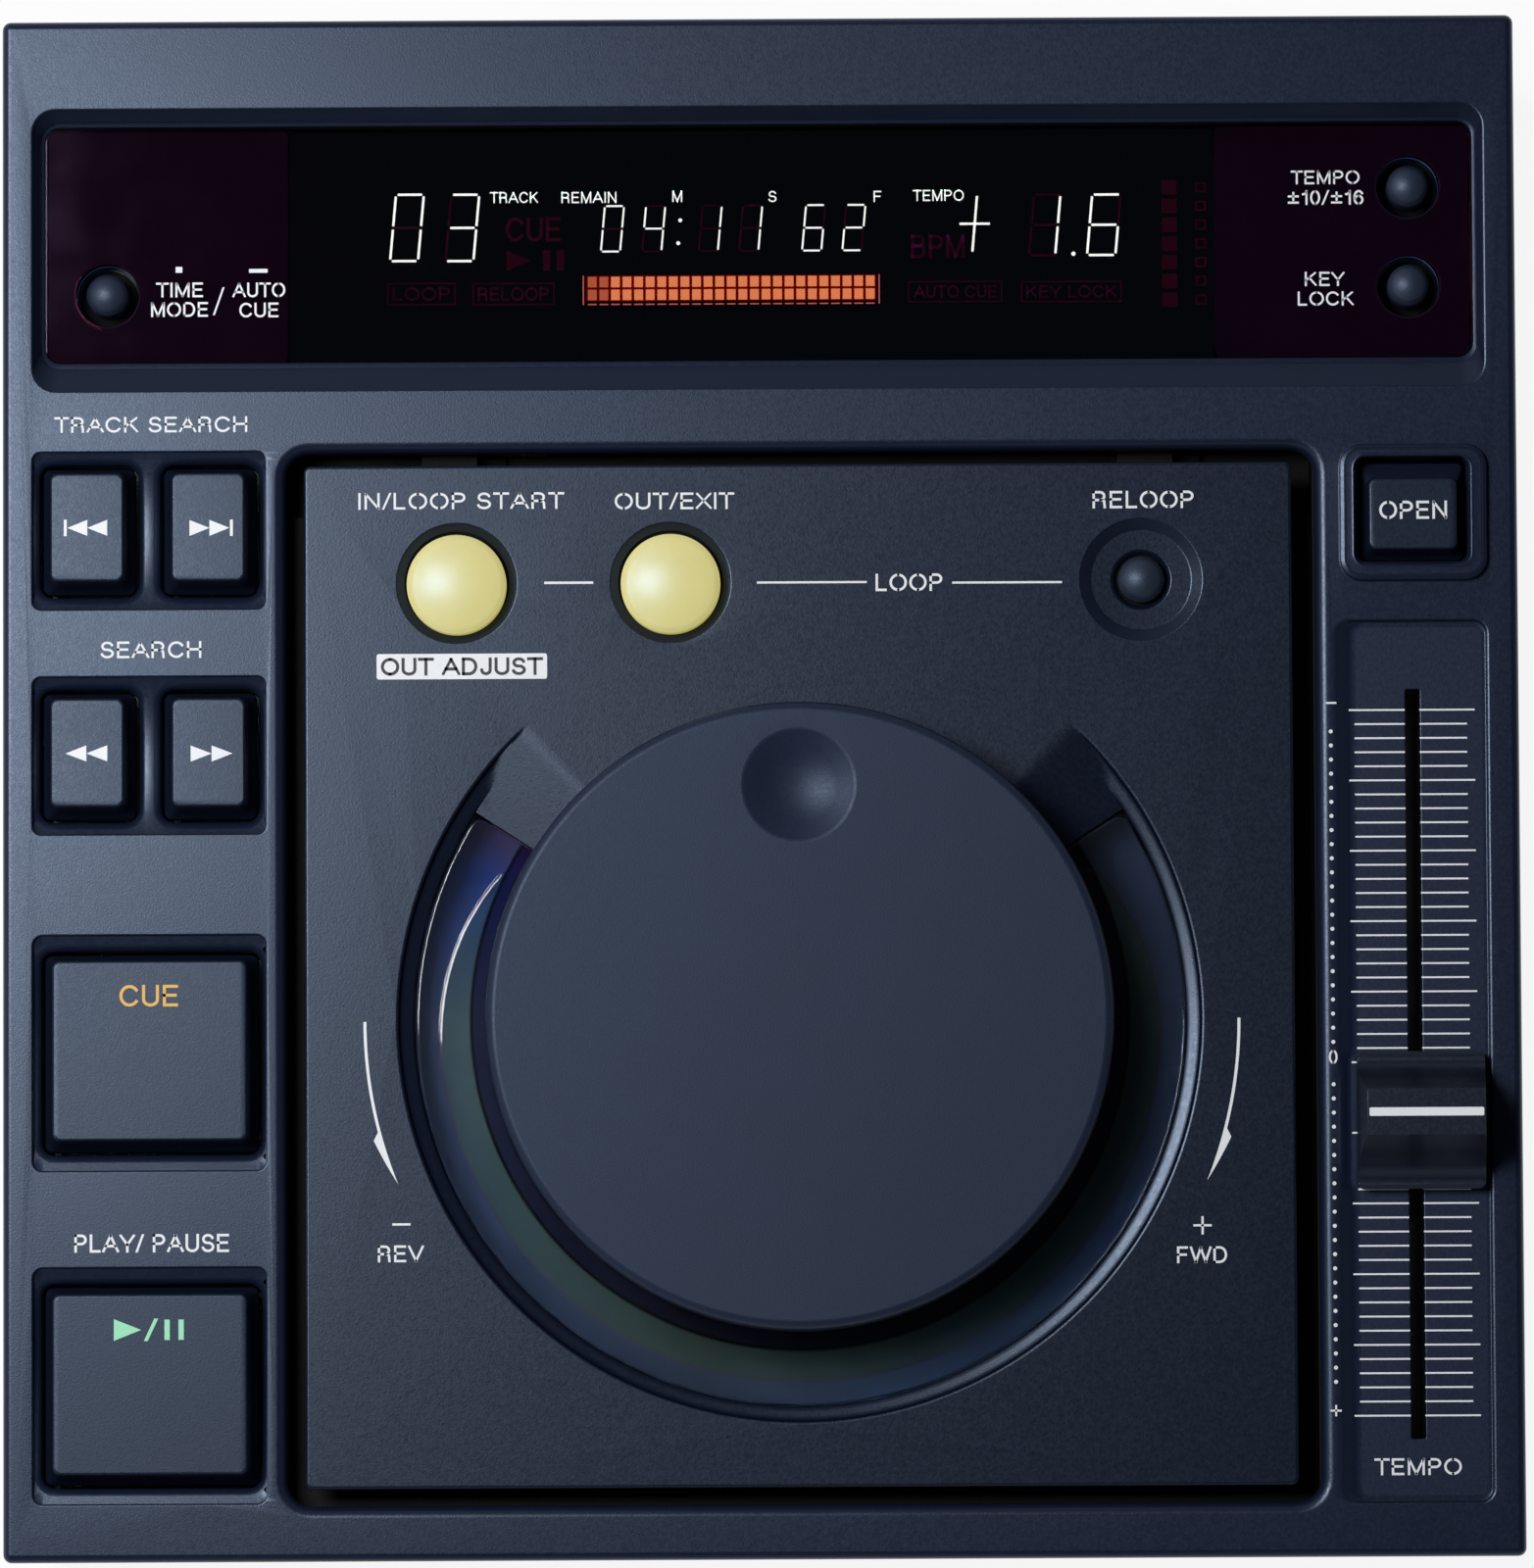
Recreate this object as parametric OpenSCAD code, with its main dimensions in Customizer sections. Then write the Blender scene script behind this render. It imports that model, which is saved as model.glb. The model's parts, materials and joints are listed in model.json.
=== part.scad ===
// Tabletop disc player for mixing music: a flat box with a lid in its middle that carries the jog dial,
// a column of keys on the left, a long tempo fader on the right and a display along the back.
// Millimetres. X is right, Y is back, Z is up. The origin is on the table, under the middle of the box.

/* [Casing] */
// Width of the casing, left to right
body_w = 217; // [216:0.5:218]
// Depth of the casing, front to back
body_d = 221; // [220:0.5:222]
// Height of the flat top plate over the table
plate_z = 82; // [82:0.5:83]
// Thickness of the casing's side walls
wall = 2.5; // [2:0.1:2.6]
// Thickness of the top plate
plate_t = 2.5; // [2.3:0.1:2.6]
// Radius of the casing's rounded upper edge
edge_r = 1.2; // [1:0.1:1.6]
// Height of the rubber feet
foot_h = 7; // [6.5:0.5:7]
// Radius of a rubber foot
foot_r = 11; // [9:0.5:12]
// Thickness of the steel base
base_t = 1.2; // [1:0.1:1.2]

/* [Display] */
// Width of the sunk display field at the plate
field_w = 208.4; // [207:0.2:209]
// Depth of the sunk display field at the plate
field_d = 41.3; // [41:0.1:42]
// Middle of the sunk display field, along Y
field_y = 77.1; // [77:0.1:77.4]
// Width of the smoked window
window_w = 205; // [203:0.5:205.4]
// Depth of the smoked window
window_d = 34; // [33:0.5:34.4]
// Middle of the smoked window, along Y
window_y = 77.7; // [77.4:0.1:78]
// How far the window lies under the plate
window_drop = 2.8; // [2.4:0.1:2.8]
// Radius of the holes for the three small keys
small_hole_r = 4.5; // [4.3:0.1:4.8]

/* [Key column] */
// Middle of the key column, along X
column_x = -87.5; // [-87.7:0.1:-87.3]
// Width of a sunk key field
well_w = 33.5; // [33:0.1:33.7]
// Depth of the two short key fields
short_well_d = 22.7; // [22:0.1:23]
// Depth of the two tall key fields
tall_well_d = 33.8; // [33.4:0.1:34]
// How far the key fields are sunk
well_drop = 2; // [1.5:0.1:2.2]
// Middle of the track search field, along Y
track_y = 37; // [36.5:0.1:37.5]
// Middle of the search field, along Y
search_y = 4.7; // [4:0.1:5.5]
// Middle of the cue field, along Y
cue_y = -37.9; // [-38.5:0.1:-37]
// Middle of the play field, along Y
play_y = -85.4; // [-85.6:0.1:-85]
// How far the keys stand over the plate
key_rise = 3.4; // [2.5:0.1:4]
// Travel of the keys
key_travel = 1.2; // [0.8:0.1:1.3]

/* [Lid] */
// Width of the lid
lid_w = 141.4; // [140.5:0.1:142]
// Depth of the lid
lid_d = 145.7; // [145:0.1:146]
// Middle of the lid, along X
lid_x = 5.4; // [5.2:0.1:5.6]
// Middle of the lid, along Y
lid_y = -27.1; // [-27.3:0.1:-27]
// Gap round the lid
lid_gap = 2.7; // [2.5:0.1:2.9]
// Thickness of the lid at its rim
lid_t = 2.2; // [2:0.1:2.3]
// How far the lid stands over the plate
lid_rise = 1; // [0.8:0.1:1.2]
// Hinge axis, along Y
hinge_y = 51; // [51:0.1:51.2]
// Hinge axis, over the table
hinge_z = 76; // [76:0.1:76.2]
// Radius of the hinge pins
hinge_pin_r = 1.5; // [1.4:0.1:1.6]

/* [Jog dial] */
// Middle of the dial, along X
dial_x = 5.4; // [5.2:0.1:5.6]
// Middle of the dial, along Y
dial_y = -33.6; // [-33.8:0.1:-33.4]
// Radius of the dial
dial_r = 44.5; // [44:0.5:45.5]
// Top of the dial over the table
dial_top = 98; // [96:0.5:100]
// Outer radius of the groove round the dial
groove_r = 57.3; // [57:0.1:57.6]
// Depth of the groove round the dial
groove_drop = 2; // [1.6:0.1:2]
// Angle where the groove's window starts, from +X
arc_start = 147; // [145:1:150]
// Angle where the groove's ramp starts, from +X
ramp_start = 133.4; // [132:0.2:135]
// Distance of the finger dimple from the dial's middle
dimple_offset = 32.6; // [31:0.2:34]
// Radius of the finger dimple at the surface
dimple_r = 7.6; // [6:0.2:8]

/* [Tempo fader] */
// Middle of the fader, along X
fader_x = 93.3; // [93.2:0.1:93.4]
// Length of the sunk fader field
fader_field_d = 126.3; // [125.5:0.1:126.5]
// Width of the sunk fader field
fader_field_w = 21.9; // [21.5:0.1:22]
// Middle of the sunk fader field, along Y
fader_field_y = -39.9; // [-40:0.1:-39.8]
// Width of the slot for the lever
slot_w = 2.1; // [2:0.1:2.4]
// Length of the slot for the lever
slot_d = 107.1; // [107:0.1:108]
// Middle of the slot, along Y
slot_y = -40.2; // [-40.3:0.1:-40.1]
// Place of the knob along Y, as it stands
knob_y = -48.4; // [-60:0.2:-30]
// Width of the knob
knob_w = 18.2; // [17:0.2:18.6]
// Depth of the knob
knob_d = 19.6; // [18:0.2:20]

/* [Open key] */
// Middle of the open key, along X
open_x = 93.4; // [93.2:0.1:93.6]
// Middle of the open key, along Y
open_y = 39; // [38.8:0.1:39.2]
// Travel of the open key, and of the latch that it pushes
open_travel = 2.5; // [2:0.1:2.6]

/* [Disc drive] */
// Radius of the disc
disc_r = 60; // [60:0.1:60.2]
// Thickness of the disc
disc_t = 1.2; // [1.1:0.1:1.3]
// Height of the disc's underside over the table
disc_z = 68.8; // [68.7:0.1:69]
// Radius of the round pocket that the disc lies in
pocket_r = 62.5; // [61.5:0.1:62.8]
// Distance of the lens from the spindle, as it stands
lens_radius = 24; // [23.5:0.1:25]

/* [Hidden] */
$fn = 48;

smooth = 96;
slack = 0.1;
half_w = body_w / 2;
half_d = body_d / 2;
base_top = foot_h + base_t;
plate_under = plate_z - plate_t;

// Display
window_top = plate_z - window_drop;
window_t = 3;
field_block_z = window_top - window_t - 0.4;
field_block_front = 54.8;
field_block_back = 99.5;
small_keys = [[-93.6, 71.2], [93.3, 86], [93.3, 71.7]];
small_key_travel = 0.8;
display_board_z = 66;
board_t = 1.6;
display_board_front = 57;
display_board_back = 99.6;
display_posts = [[-70, 59.4], [70, 59.4], [-70, 97.2], [70, 97.2]];

// Key column
well_block_z = plate_under - 3;
column_pitch = 17.3;
small_key_hole = [14.1, 19];
large_key_hole = [31.4, 29.1];
small_key_top = [10.2, 15.3];
large_key_top = [27.4, 25];
key_gap = 0.45;
key_board_z = 66.4;
switch_h = 3.5;
switch_w = 6;
key_posts = [[column_x, 20.8], [column_x, -14], [column_x, -61.6]];
track_keys = [[column_x - column_pitch / 2, track_y], [column_x + column_pitch / 2, track_y]];
search_keys = [[column_x - column_pitch / 2, search_y], [column_x + column_pitch / 2, search_y]];

// Lid
lid_top = plate_z + lid_rise;
lid_under = lid_top - lid_t;
hole_w = lid_w + 2 * lid_gap;
hole_d = lid_d + 2 * lid_gap;
hole_r = 3.4;
ring_z = lid_under - 2.2;
groove_z = lid_top - groove_drop;
arc_sweep = 540 - 2 * arc_start;
lens_inner_r = 41.2;
lens_outer_r = groove_r - groove_drop - 0.2;
liner_z = 74.6;
liner_t = 1.5;
liner_left = lid_x - 65.4;
liner_right = lid_x + 65.6;
liner_front = -96;
liner_back = 41;
loop_keys = [[-43.4, 29.1], [-12.8, 29.1]];
loop_hole_r = 8.5;
reloop_key = [54.5, 29.2];
reloop_hole_r = 4.3;
lid_screw_spots = [[-55, -90], [66, -90], [-55, 9], [66, 9]];
arm_offset = 50;
arm_w = 8;
hinge_boss_r = 2.8;
bush_r = 6;
shaft_r = 3;

// Disc drive
tray_left = -69.6;
tray_right = 80.6;
tray_front = -104.6;
tray_back = 56.6;
tray_z = 72;
tray_t = 2;
rim_t = 1.4;
step_y = 39.5;
rear_floor_z = 68;
pocket_floor_z = 64.5;
tray_legs = [[-62, -97], [72, -97], [-62, 49.5], [72, 49.5]];
damper_spots = [[-40, -72], [38, -72], [-30, 14], [38, 8]];
chassis_z = 54;
chassis_t = 1.5;
damper_top = 57.5;
rod_r = 1.5;
rod_y = 17;
rod_z = 60;
sled_x = dial_x - lens_radius;
sled_z = 57;
lens_r = 4;
lens_z = 61;
gear_x = -45;
gear_teeth = 16;
gear_module = 1;
gear_r = gear_teeth * gear_module / 2;
rack_y = dial_y + 23;
gear_y = rack_y + gear_r;
gear_z = 57;
gear_t = 3;
motor_shaft_r = 1;
running = 0.04;

// Back of the casing
bay_w = 189;
bay_z0 = 14.5;
bay_z1 = 63.5;
bay_y = 98;
sheet = 1.5;
inner_back = half_d - wall;
jack_z = 36;
jack_spots = [40, 60];
jack_r = 4.15;
jack_shoulder_r = 5;
control_x = 80;
inlet_x = -78;
switch_x = -48;
rocker_tilt = 7;
rocker_y = 97;

// Casing screws and board screws
corner_posts = [for (sx = [-1, 1], sy = [-1, 1]) [sx * (half_w - 5.2), sy * (half_d - 5.2)]];
foot_spots = [[-88, -92], [88, -92], [-88, 92], [88, 92]];
pilot_r = 1.3;
shank_r = 1.25;
main_board_posts = [[-52, -80], [60, -80], [-52, 32], [60, 32]];
main_board_z = 16;

// Tempo fader
fader_ends = [fader_x, [21.2, -101.4]];
fader_top = 73;
fader_z = 62;
field_floor = plate_z - 1;

module slab(x0, x1, y0, y1, z0, z1) {
    translate([x0, y0, z0]) cube([x1 - x0, y1 - y0, z1 - z0]);
}

module round_slab(x, y, w, d, r, z0, z1) {
    translate([x, y, z0]) linear_extrude(z1 - z0)
        offset(r = r, $fn = 24) square([w - 2 * r, d - 2 * r], center = true);
}

// A block between two rounded rectangles, each given as [x, y, width, depth, corner radius, z].
// It starts with a straight skirt and ends with a short straight band.
module taper(low, high, skirt = 0.2) {
    band = 0.2;
    hull() {
        round_slab(low[0], low[1], low[2], low[3], low[4], low[5] - skirt, low[5]);
        round_slab(high[0], high[1], high[2], high[3], high[4], high[5] - band, high[5]);
    }
}

module post(spot, r, z0, z1) {
    translate([spot[0], spot[1], z0]) cylinder(r = r, h = z1 - z0);
}

// A piece of a ring round the dial's axis, from angle a0 through a sweep
module ring_piece(r0, r1, z0, z1, a0 = 0, sweep = 360) {
    translate([dial_x, dial_y, z0]) rotate([0, 0, a0])
        rotate_extrude(angle = sweep, $fn = smooth) translate([r0, 0]) square([r1 - r0, z1 - z0]);
}

// A pan-head screw with its head's underside at z, its shank going up
module screw(spot, z, length, head_r = 2.6, head_h = 1.6) {
    translate([spot[0], spot[1], z]) difference() {
        union() {
            translate([0, 0, -head_h]) cylinder(r = head_r, h = head_h);
            cylinder(r = shank_r, h = length);
        }
        for (turn = [0, 90]) rotate([0, 0, turn]) translate([-1.5, -0.3, -head_h - 1]) cube([3, 0.6, 1.9]);
    }
}

// Casing

module casing_block() {
    profile_steps = 6;
    hull() for (sx = [-1, 1], sy = [-1, 1])
        translate([sx * (half_w - edge_r), sy * (half_d - edge_r), 0])
            rotate_extrude($fn = 32) polygon(concat(
                [[0, base_top], [edge_r, base_top]],
                [for (i = [0 : profile_steps]) let (a = 90 * i / profile_steps)
                    [edge_r * cos(a), plate_z - edge_r + edge_r * sin(a)]]));
}

module key_holes() {
    for (spot = concat(track_keys, search_keys))
        round_slab(spot[0], spot[1], small_key_hole[0], small_key_hole[1], 1.4, well_block_z - 1, plate_z);
    for (y = [cue_y, play_y])
        round_slab(column_x + 0.2, y, large_key_hole[0], large_key_hole[1], 1.4, well_block_z - 1, plate_z);
}

module key_wells() {
    for (y = [track_y, search_y])
        round_slab(column_x, y, well_w, short_well_d, 1.2, plate_z - well_drop, plate_z + 1);
    for (y = [cue_y, play_y])
        round_slab(column_x, y, well_w, tall_well_d, 1.4, plate_z - well_drop, plate_z + 1);
}

module open_collar() {
    taper([open_x, open_y - 0.3, 21.2, 19.4, 2.5, plate_z],
          [open_x, open_y, 17.3, 16.4, 1.6, plate_z + 1.6], 1);
}

module top_housing() {
    color([0.2, 0.22, 0.29]) difference() {
        union() {
            difference() {
                casing_block();
                slab(-half_w + wall, half_w - wall, -half_d + wall, half_d - wall, base_top - 1, plate_under);
            }
            slab(-half_w + wall, half_w - wall, field_block_front, field_block_back,
                 field_block_z, plate_under);
            slab(-half_w + wall, -70.3, play_y - 18.4, track_y + 13, well_block_z, plate_under);
            slab(open_x - 9.6, half_w - wall, open_y - 9, open_y + 9.4, plate_under - 2, plate_under);
            open_collar();
            for (spot = corner_posts) post(spot, 3.2, base_top, plate_under);
            for (spot = key_posts) post(spot, 2.6, key_board_z + board_t, well_block_z);
            for (spot = display_posts) post(spot, 2.4, display_board_z + board_t, field_block_z);
            for (y = fader_ends[1]) post([fader_x, y], 2.6, fader_top, plate_under);
        }
        taper([0, window_y, window_w + 0.4, window_d + 0.4, 2.4, window_top],
              [0, field_y, field_w, field_d, 3.4, plate_z + 0.2]);
        round_slab(0, window_y, window_w + 0.2, window_d + 0.2, 2.2, field_block_z - 1, window_top);
        key_wells();
        key_holes();
        round_slab(lid_x, lid_y, hole_w, hole_d, hole_r, plate_under - 1, plate_z + 1);
        round_slab(open_x, open_y + 0.2, 15.7, 15, 1, plate_under - 3, plate_z + 3);
        round_slab(fader_x, fader_field_y, fader_field_w, fader_field_d, 2, field_floor, plate_z + 1);
        slab(fader_x - slot_w / 2, fader_x + slot_w / 2, slot_y - slot_d / 2, slot_y + slot_d / 2,
             plate_under - 1, plate_z);
        slab(-bay_w / 2 + 2, bay_w / 2 - 2, inner_back - 1, half_d + 1, bay_z0 + 2, bay_z1 - 2);
        for (spot = corner_posts) post(spot, pilot_r, base_top - 1, base_top + 14);
        for (spot = key_posts) post(spot, pilot_r, key_board_z, well_block_z - 0.5);
        for (spot = display_posts) post(spot, pilot_r, display_board_z, field_block_z - 0.5);
        for (y = fader_ends[1]) post([fader_x, y], pilot_r, fader_top - 1, plate_under - 0.5);
    }
}

module base_tray() {
    margin = 0.5;
    flange_in = wall + 0.3;
    flange_h = 10;
    flange_z = base_top + flange_h / 2 - 0.1;
    clear_r = pilot_r + 0.3;
    color([0.16, 0.16, 0.17]) difference() {
        union() {
            round_slab(0, 0, body_w - 2 * margin, body_d - 2 * margin, 2, foot_h, base_top);
            for (side = [-1, 1]) translate([side * (half_w - flange_in - base_t / 2), 0, flange_z])
                cube([base_t, body_d - 32, flange_h + 0.2], center = true);
            translate([0, -half_d + flange_in + base_t / 2, flange_z])
                cube([body_w - 32, base_t, flange_h + 0.2], center = true);
            for (spot = main_board_posts) post(spot, 3, base_top - 0.1, main_board_z);
        }
        for (spot = concat(corner_posts, foot_spots, tray_legs))
            post(spot, clear_r, foot_h - 1, base_top + 1);
        for (spot = main_board_posts) post(spot, pilot_r, foot_h + 2, main_board_z + 1);
    }
}

module rear_panel() {
    color([0.13, 0.13, 0.14]) difference() {
        slab(-bay_w / 2, bay_w / 2, bay_y, inner_back, bay_z0, bay_z1);
        slab(-bay_w / 2 + sheet, bay_w / 2 - sheet, bay_y + sheet, inner_back + 1,
             bay_z0 + sheet, bay_z1 - sheet);
        for (x = jack_spots) translate([x, bay_y - 1, jack_z]) rotate([-90, 0, 0])
            cylinder(r = jack_shoulder_r + slack, h = 4);
        translate([control_x, bay_y - 1, jack_z]) rotate([-90, 0, 0]) cylinder(r = 4.1, h = 4);
        slab(inlet_x - 11.1, inlet_x + 11.1, bay_y - 1, bay_y + 3, jack_z - 7.1, jack_z + 7.1);
        slab(switch_x - 7.6, switch_x + 7.6, bay_y - 1, bay_y + 3, jack_z - 11.1, jack_z + 11.1);
    }
}

module foot(spot) {
    color([0.07, 0.07, 0.07]) translate([spot[0], spot[1], 0]) difference() {
        rotate_extrude($fn = smooth) polygon([[0, 0], [foot_r - 1.6, 0], [foot_r - 0.6, 1],
                                              [foot_r, foot_h - 1], [foot_r, foot_h], [0, foot_h]]);
        translate([0, 0, -1]) cylinder(r = 4.5, h = 4.5);
        translate([0, 0, -1]) cylinder(r = pilot_r + 0.3, h = foot_h + 2);
    }
}

module foot_front_left() { foot(foot_spots[0]); }
module foot_front_right() { foot(foot_spots[1]); }
module foot_rear_left() { foot(foot_spots[2]); }
module foot_rear_right() { foot(foot_spots[3]); }

module base_screws() {
    color([0.5, 0.5, 0.52]) {
        for (spot = concat(corner_posts, tray_legs)) screw(spot, foot_h, 11);
        for (spot = foot_spots) screw(spot, 3.5, 7);
    }
}

// Display and boards

module display_window() {
    color([0.06, 0.02, 0.03, 0.6]) difference() {
        round_slab(0, window_y, window_w, window_d, 2.2, window_top - window_t, window_top);
        for (spot = small_keys) post(spot, small_hole_r, window_top - window_t - 1, window_top + 1);
    }
}

module display_tube() {
    color([0.1, 0.12, 0.12, 0.7]) union() {
        slab(-60, 66, 64, 91, display_board_z + board_t, display_board_z + board_t + 6.4);
        slab(-56, 62, 67, 88, display_board_z + board_t + 6.3, display_board_z + board_t + 7.2);
    }
}

module tact_switch(spot, z, h) {
    translate([spot[0] - switch_w / 2, spot[1] - switch_w / 2, z - 0.1]) cube([switch_w, switch_w, h + 0.1]);
}

module display_board() {
    top = display_board_z + board_t;
    color([0.1, 0.3, 0.16]) difference() {
        union() {
            slab(-99, 99, display_board_front, display_board_back, display_board_z, top);
            for (spot = small_keys) tact_switch(spot, top, switch_h);
        }
        for (spot = display_posts) post(spot, pilot_r + 0.2, display_board_z - 1, top + 1);
    }
}

module key_board() {
    top = key_board_z + board_t;
    color([0.1, 0.3, 0.16]) difference() {
        union() {
            slab(-105, -72, -101.5, 50, key_board_z, top);
            for (spot = concat(track_keys, search_keys)) tact_switch(spot, top, switch_h);
            for (y = [cue_y, play_y]) tact_switch([column_x, y], top, switch_h);
        }
        for (spot = key_posts) post(spot, pilot_r + 0.2, key_board_z - 1, top + 1);
    }
}

module main_board() {
    top = main_board_z + board_t;
    color([0.1, 0.3, 0.16]) difference() {
        union() {
            slab(-58, 66, -88, 38, main_board_z, top);
            for (x = [-38, -6, 26]) slab(x, x + 18, -60, -42, top - 0.1, top + 2.5);
            for (x = [-40 : 16 : 40], y = [-10, 12]) post([x, y], 5, top - 0.1, top + 12);
            slab(-30, 40, 22, 30, top - 0.1, top + 6);
        }
        for (spot = main_board_posts) post(spot, pilot_r + 0.2, main_board_z - 1, top + 1);
    }
}

module power_transformer() {
    color([0.32, 0.3, 0.3]) union() {
        slab(-100, -68, 60, 74, base_top + 2, 44);
        slab(-93, -75, 54, 80, 18, 36);
        slab(-102, -66.5, 58, 76, base_top, base_top + 2.1);
    }
}

// Sockets and switch at the back

module output_jacks() {
    color([0.75, 0.72, 0.6]) difference() {
        union() {
            slab(jack_spots[0] - 8, jack_spots[1] + 8, 86, bay_y, jack_z - 9, jack_z + 9);
            for (x = jack_spots) translate([x, bay_y - 1, jack_z]) rotate([-90, 0, 0]) {
                cylinder(r = jack_shoulder_r, h = sheet + 1);
                cylinder(r = jack_r, h = sheet + 9);
            }
        }
        for (x = jack_spots) translate([x, bay_y, jack_z]) rotate([-90, 0, 0]) difference() {
            cylinder(r = 3.3, h = 12);
            cylinder(r = 2.6, h = 9);
        }
        for (x = jack_spots) translate([x, bay_y - 4, jack_z]) rotate([-90, 0, 0]) cylinder(r = 1.7, h = 16);
    }
}

module control_jack() {
    color([0.1, 0.1, 0.1]) difference() {
        union() {
            slab(control_x - 6, control_x + 6, 86, bay_y, jack_z - 6, jack_z + 6);
            translate([control_x, bay_y - 1, jack_z]) rotate([-90, 0, 0]) cylinder(r = 3.8, h = 5);
        }
        translate([control_x, 88, jack_z]) rotate([-90, 0, 0]) cylinder(r = 1.8, h = 20);
    }
}

module ac_inlet() {
    pin_pitch = 8.6;
    mouth = [16.6, 8.6];
    color([0.08, 0.08, 0.08]) union() {
        difference() {
            union() {
                slab(inlet_x - 11, inlet_x + 11, 85, bay_y + sheet + 0.1, jack_z - 7, jack_z + 7);
                slab(inlet_x - 13, inlet_x + 13, bay_y + sheet, bay_y + sheet + 2, jack_z - 9, jack_z + 9);
            }
            translate([inlet_x, 88, jack_z]) rotate([-90, 0, 0]) linear_extrude(20)
                offset(r = 3.6, $fn = 24) square([mouth[0] - 7.2, mouth[1] - 7.2], center = true);
        }
        for (side = [-1, 1]) translate([inlet_x + side * pin_pitch / 2, 87, jack_z])
            rotate([-90, 0, 0]) cylinder(r = 1.2, h = 11);
    }
}

module switch_frame() {
    color([0.08, 0.08, 0.08]) difference() {
        union() {
            slab(switch_x - 7.5, switch_x + 7.5, 86, bay_y + sheet + 0.1, jack_z - 11, jack_z + 11);
            slab(switch_x - 9, switch_x + 9, bay_y + sheet, bay_y + sheet + 1.8,
                 jack_z - 12.5, jack_z + 12.5);
        }
        slab(switch_x - 5.6, switch_x + 5.6, 91, bay_y + 5, jack_z - 9.2, jack_z + 9.2);
        translate([switch_x - 6.6, rocker_y, jack_z]) rotate([0, 90, 0]) cylinder(r = 1.05, h = 13.2);
    }
}

module switch_rocker() {
    color([0.1, 0.1, 0.1]) translate([switch_x, rocker_y, jack_z]) rotate([-rocker_tilt, 0, 0]) union() {
        rotate([90, 0, 90]) linear_extrude(10.8, center = true)
            polygon([[-3, -7], [3, -8.2], [3.4, -4], [2.6, 0], [3.4, 4], [3, 8.2], [-3, 7]]);
        translate([-6.4, 0, 0]) rotate([0, 90, 0]) cylinder(r = 1, h = 12.8);
    }
}

// Disc drive

module disc_well() {
    left = tray_left;
    right = tray_right;
    tray_top = tray_z + tray_t;
    color([0.12, 0.12, 0.13]) difference() {
        union() {
            difference() {
                union() {
                    slab(left, right, tray_front, step_y, tray_z, tray_top);
                    ring_piece(0, pocket_r + 1.8, pocket_floor_z, tray_top);
                    for (x = [left, right - rim_t])
                        slab(x, x + rim_t, tray_front, field_block_front - 0.3, rear_floor_z, plate_under);
                    slab(left, right, tray_front, tray_front + rim_t, tray_z, plate_under);
                }
                translate([dial_x, dial_y, pocket_floor_z + 2]) cylinder(r = pocket_r, h = 20, $fn = smooth);
            }
            slab(left, right, step_y - 1.5, tray_back, rear_floor_z, rear_floor_z + 2);
            slab(left, right, step_y - 1.5, step_y, rear_floor_z, tray_top);
            slab(left, right, tray_back - 1.4, tray_back, rear_floor_z, field_block_z);
            for (spot = tray_legs) post(spot, 4, base_top, spot[1] < 0 ? tray_z + 1 : rear_floor_z + 1);
            for (spot = damper_spots) post(spot, 4, damper_top, pocket_floor_z + 1);
            for (y = [-8, 10]) slab(76.2, tray_right, y - 2, y + 2, 57.8, tray_z + 1);
        }
        translate([dial_x, dial_y, pocket_floor_z - 1]) cylinder(r = 16, h = 4);
        slab(-57, dial_x, dial_y - 11, dial_y + 11, pocket_floor_z - 1, pocket_floor_z + 3);
        slab(71.4, 77, -30, -13, tray_z - 1, tray_top + 1);
        for (y = [-8, 10]) slab(76.8, tray_right + 1, y - 3, y + 3, 59.8, 62.8);
        for (spot = tray_legs) post(spot, pilot_r, base_top - 1, base_top + 14);
        for (spot = damper_spots) post(spot, pilot_r, damper_top - 1, pocket_floor_z);
    }
}

module rod_block(x0, side) {
    y = dial_y + side * rod_y;
    slab(x0, x0 + 3.5, y - 3, y + 3, chassis_z + 1, rod_z + 3);
}

module mech_chassis() {
    color([0.6, 0.6, 0.62]) difference() {
        union() {
            round_slab(-13, -29, 118, 102, 4, chassis_z, chassis_z + chassis_t);
            for (x0 = [-71, -7], side = [-1, 1]) rod_block(x0, side);
        }
        for (spot = damper_spots) post(spot, 4.05, chassis_z - 1, chassis_z + 3);
        for (side = [-1, 1]) translate([-75, dial_y + side * rod_y, rod_z]) rotate([0, 90, 0])
            cylinder(r = rod_r + 0.02, h = 80);
        post([dial_x, dial_y], 4, chassis_z - 1, chassis_z + 3);
        post([gear_x, gear_y], 3, chassis_z - 1, chassis_z + 3);
        slab(20, 38, -60, -8, chassis_z - 1, chassis_z + 3);
    }
}

module rubber_dampers() {
    color([0.1, 0.1, 0.1]) for (spot = damper_spots) translate([spot[0], spot[1], 0])
        rotate_extrude() polygon([[1.6, 51.9], [5.4, 51.9], [5.4, chassis_z], [4, chassis_z],
                                  [4, chassis_z + chassis_t], [5.4, chassis_z + chassis_t],
                                  [5.4, damper_top], [1.6, damper_top]]);
}

module inner_screws() {
    color([0.62, 0.62, 0.64]) {
        for (spot = damper_spots) screw(spot, 51.9, 10);
        for (spot = key_posts) screw(spot, key_board_z, 8);
        for (spot = display_posts) screw(spot, display_board_z, 8);
        for (y = fader_ends[1]) screw([fader_x, y], fader_top - 1.5, 6);
        for (spot = main_board_posts) translate([0, 0, 2 * (main_board_z + board_t)]) mirror([0, 0, 1])
            screw(spot, main_board_z + board_t, 6);
    }
}

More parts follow.
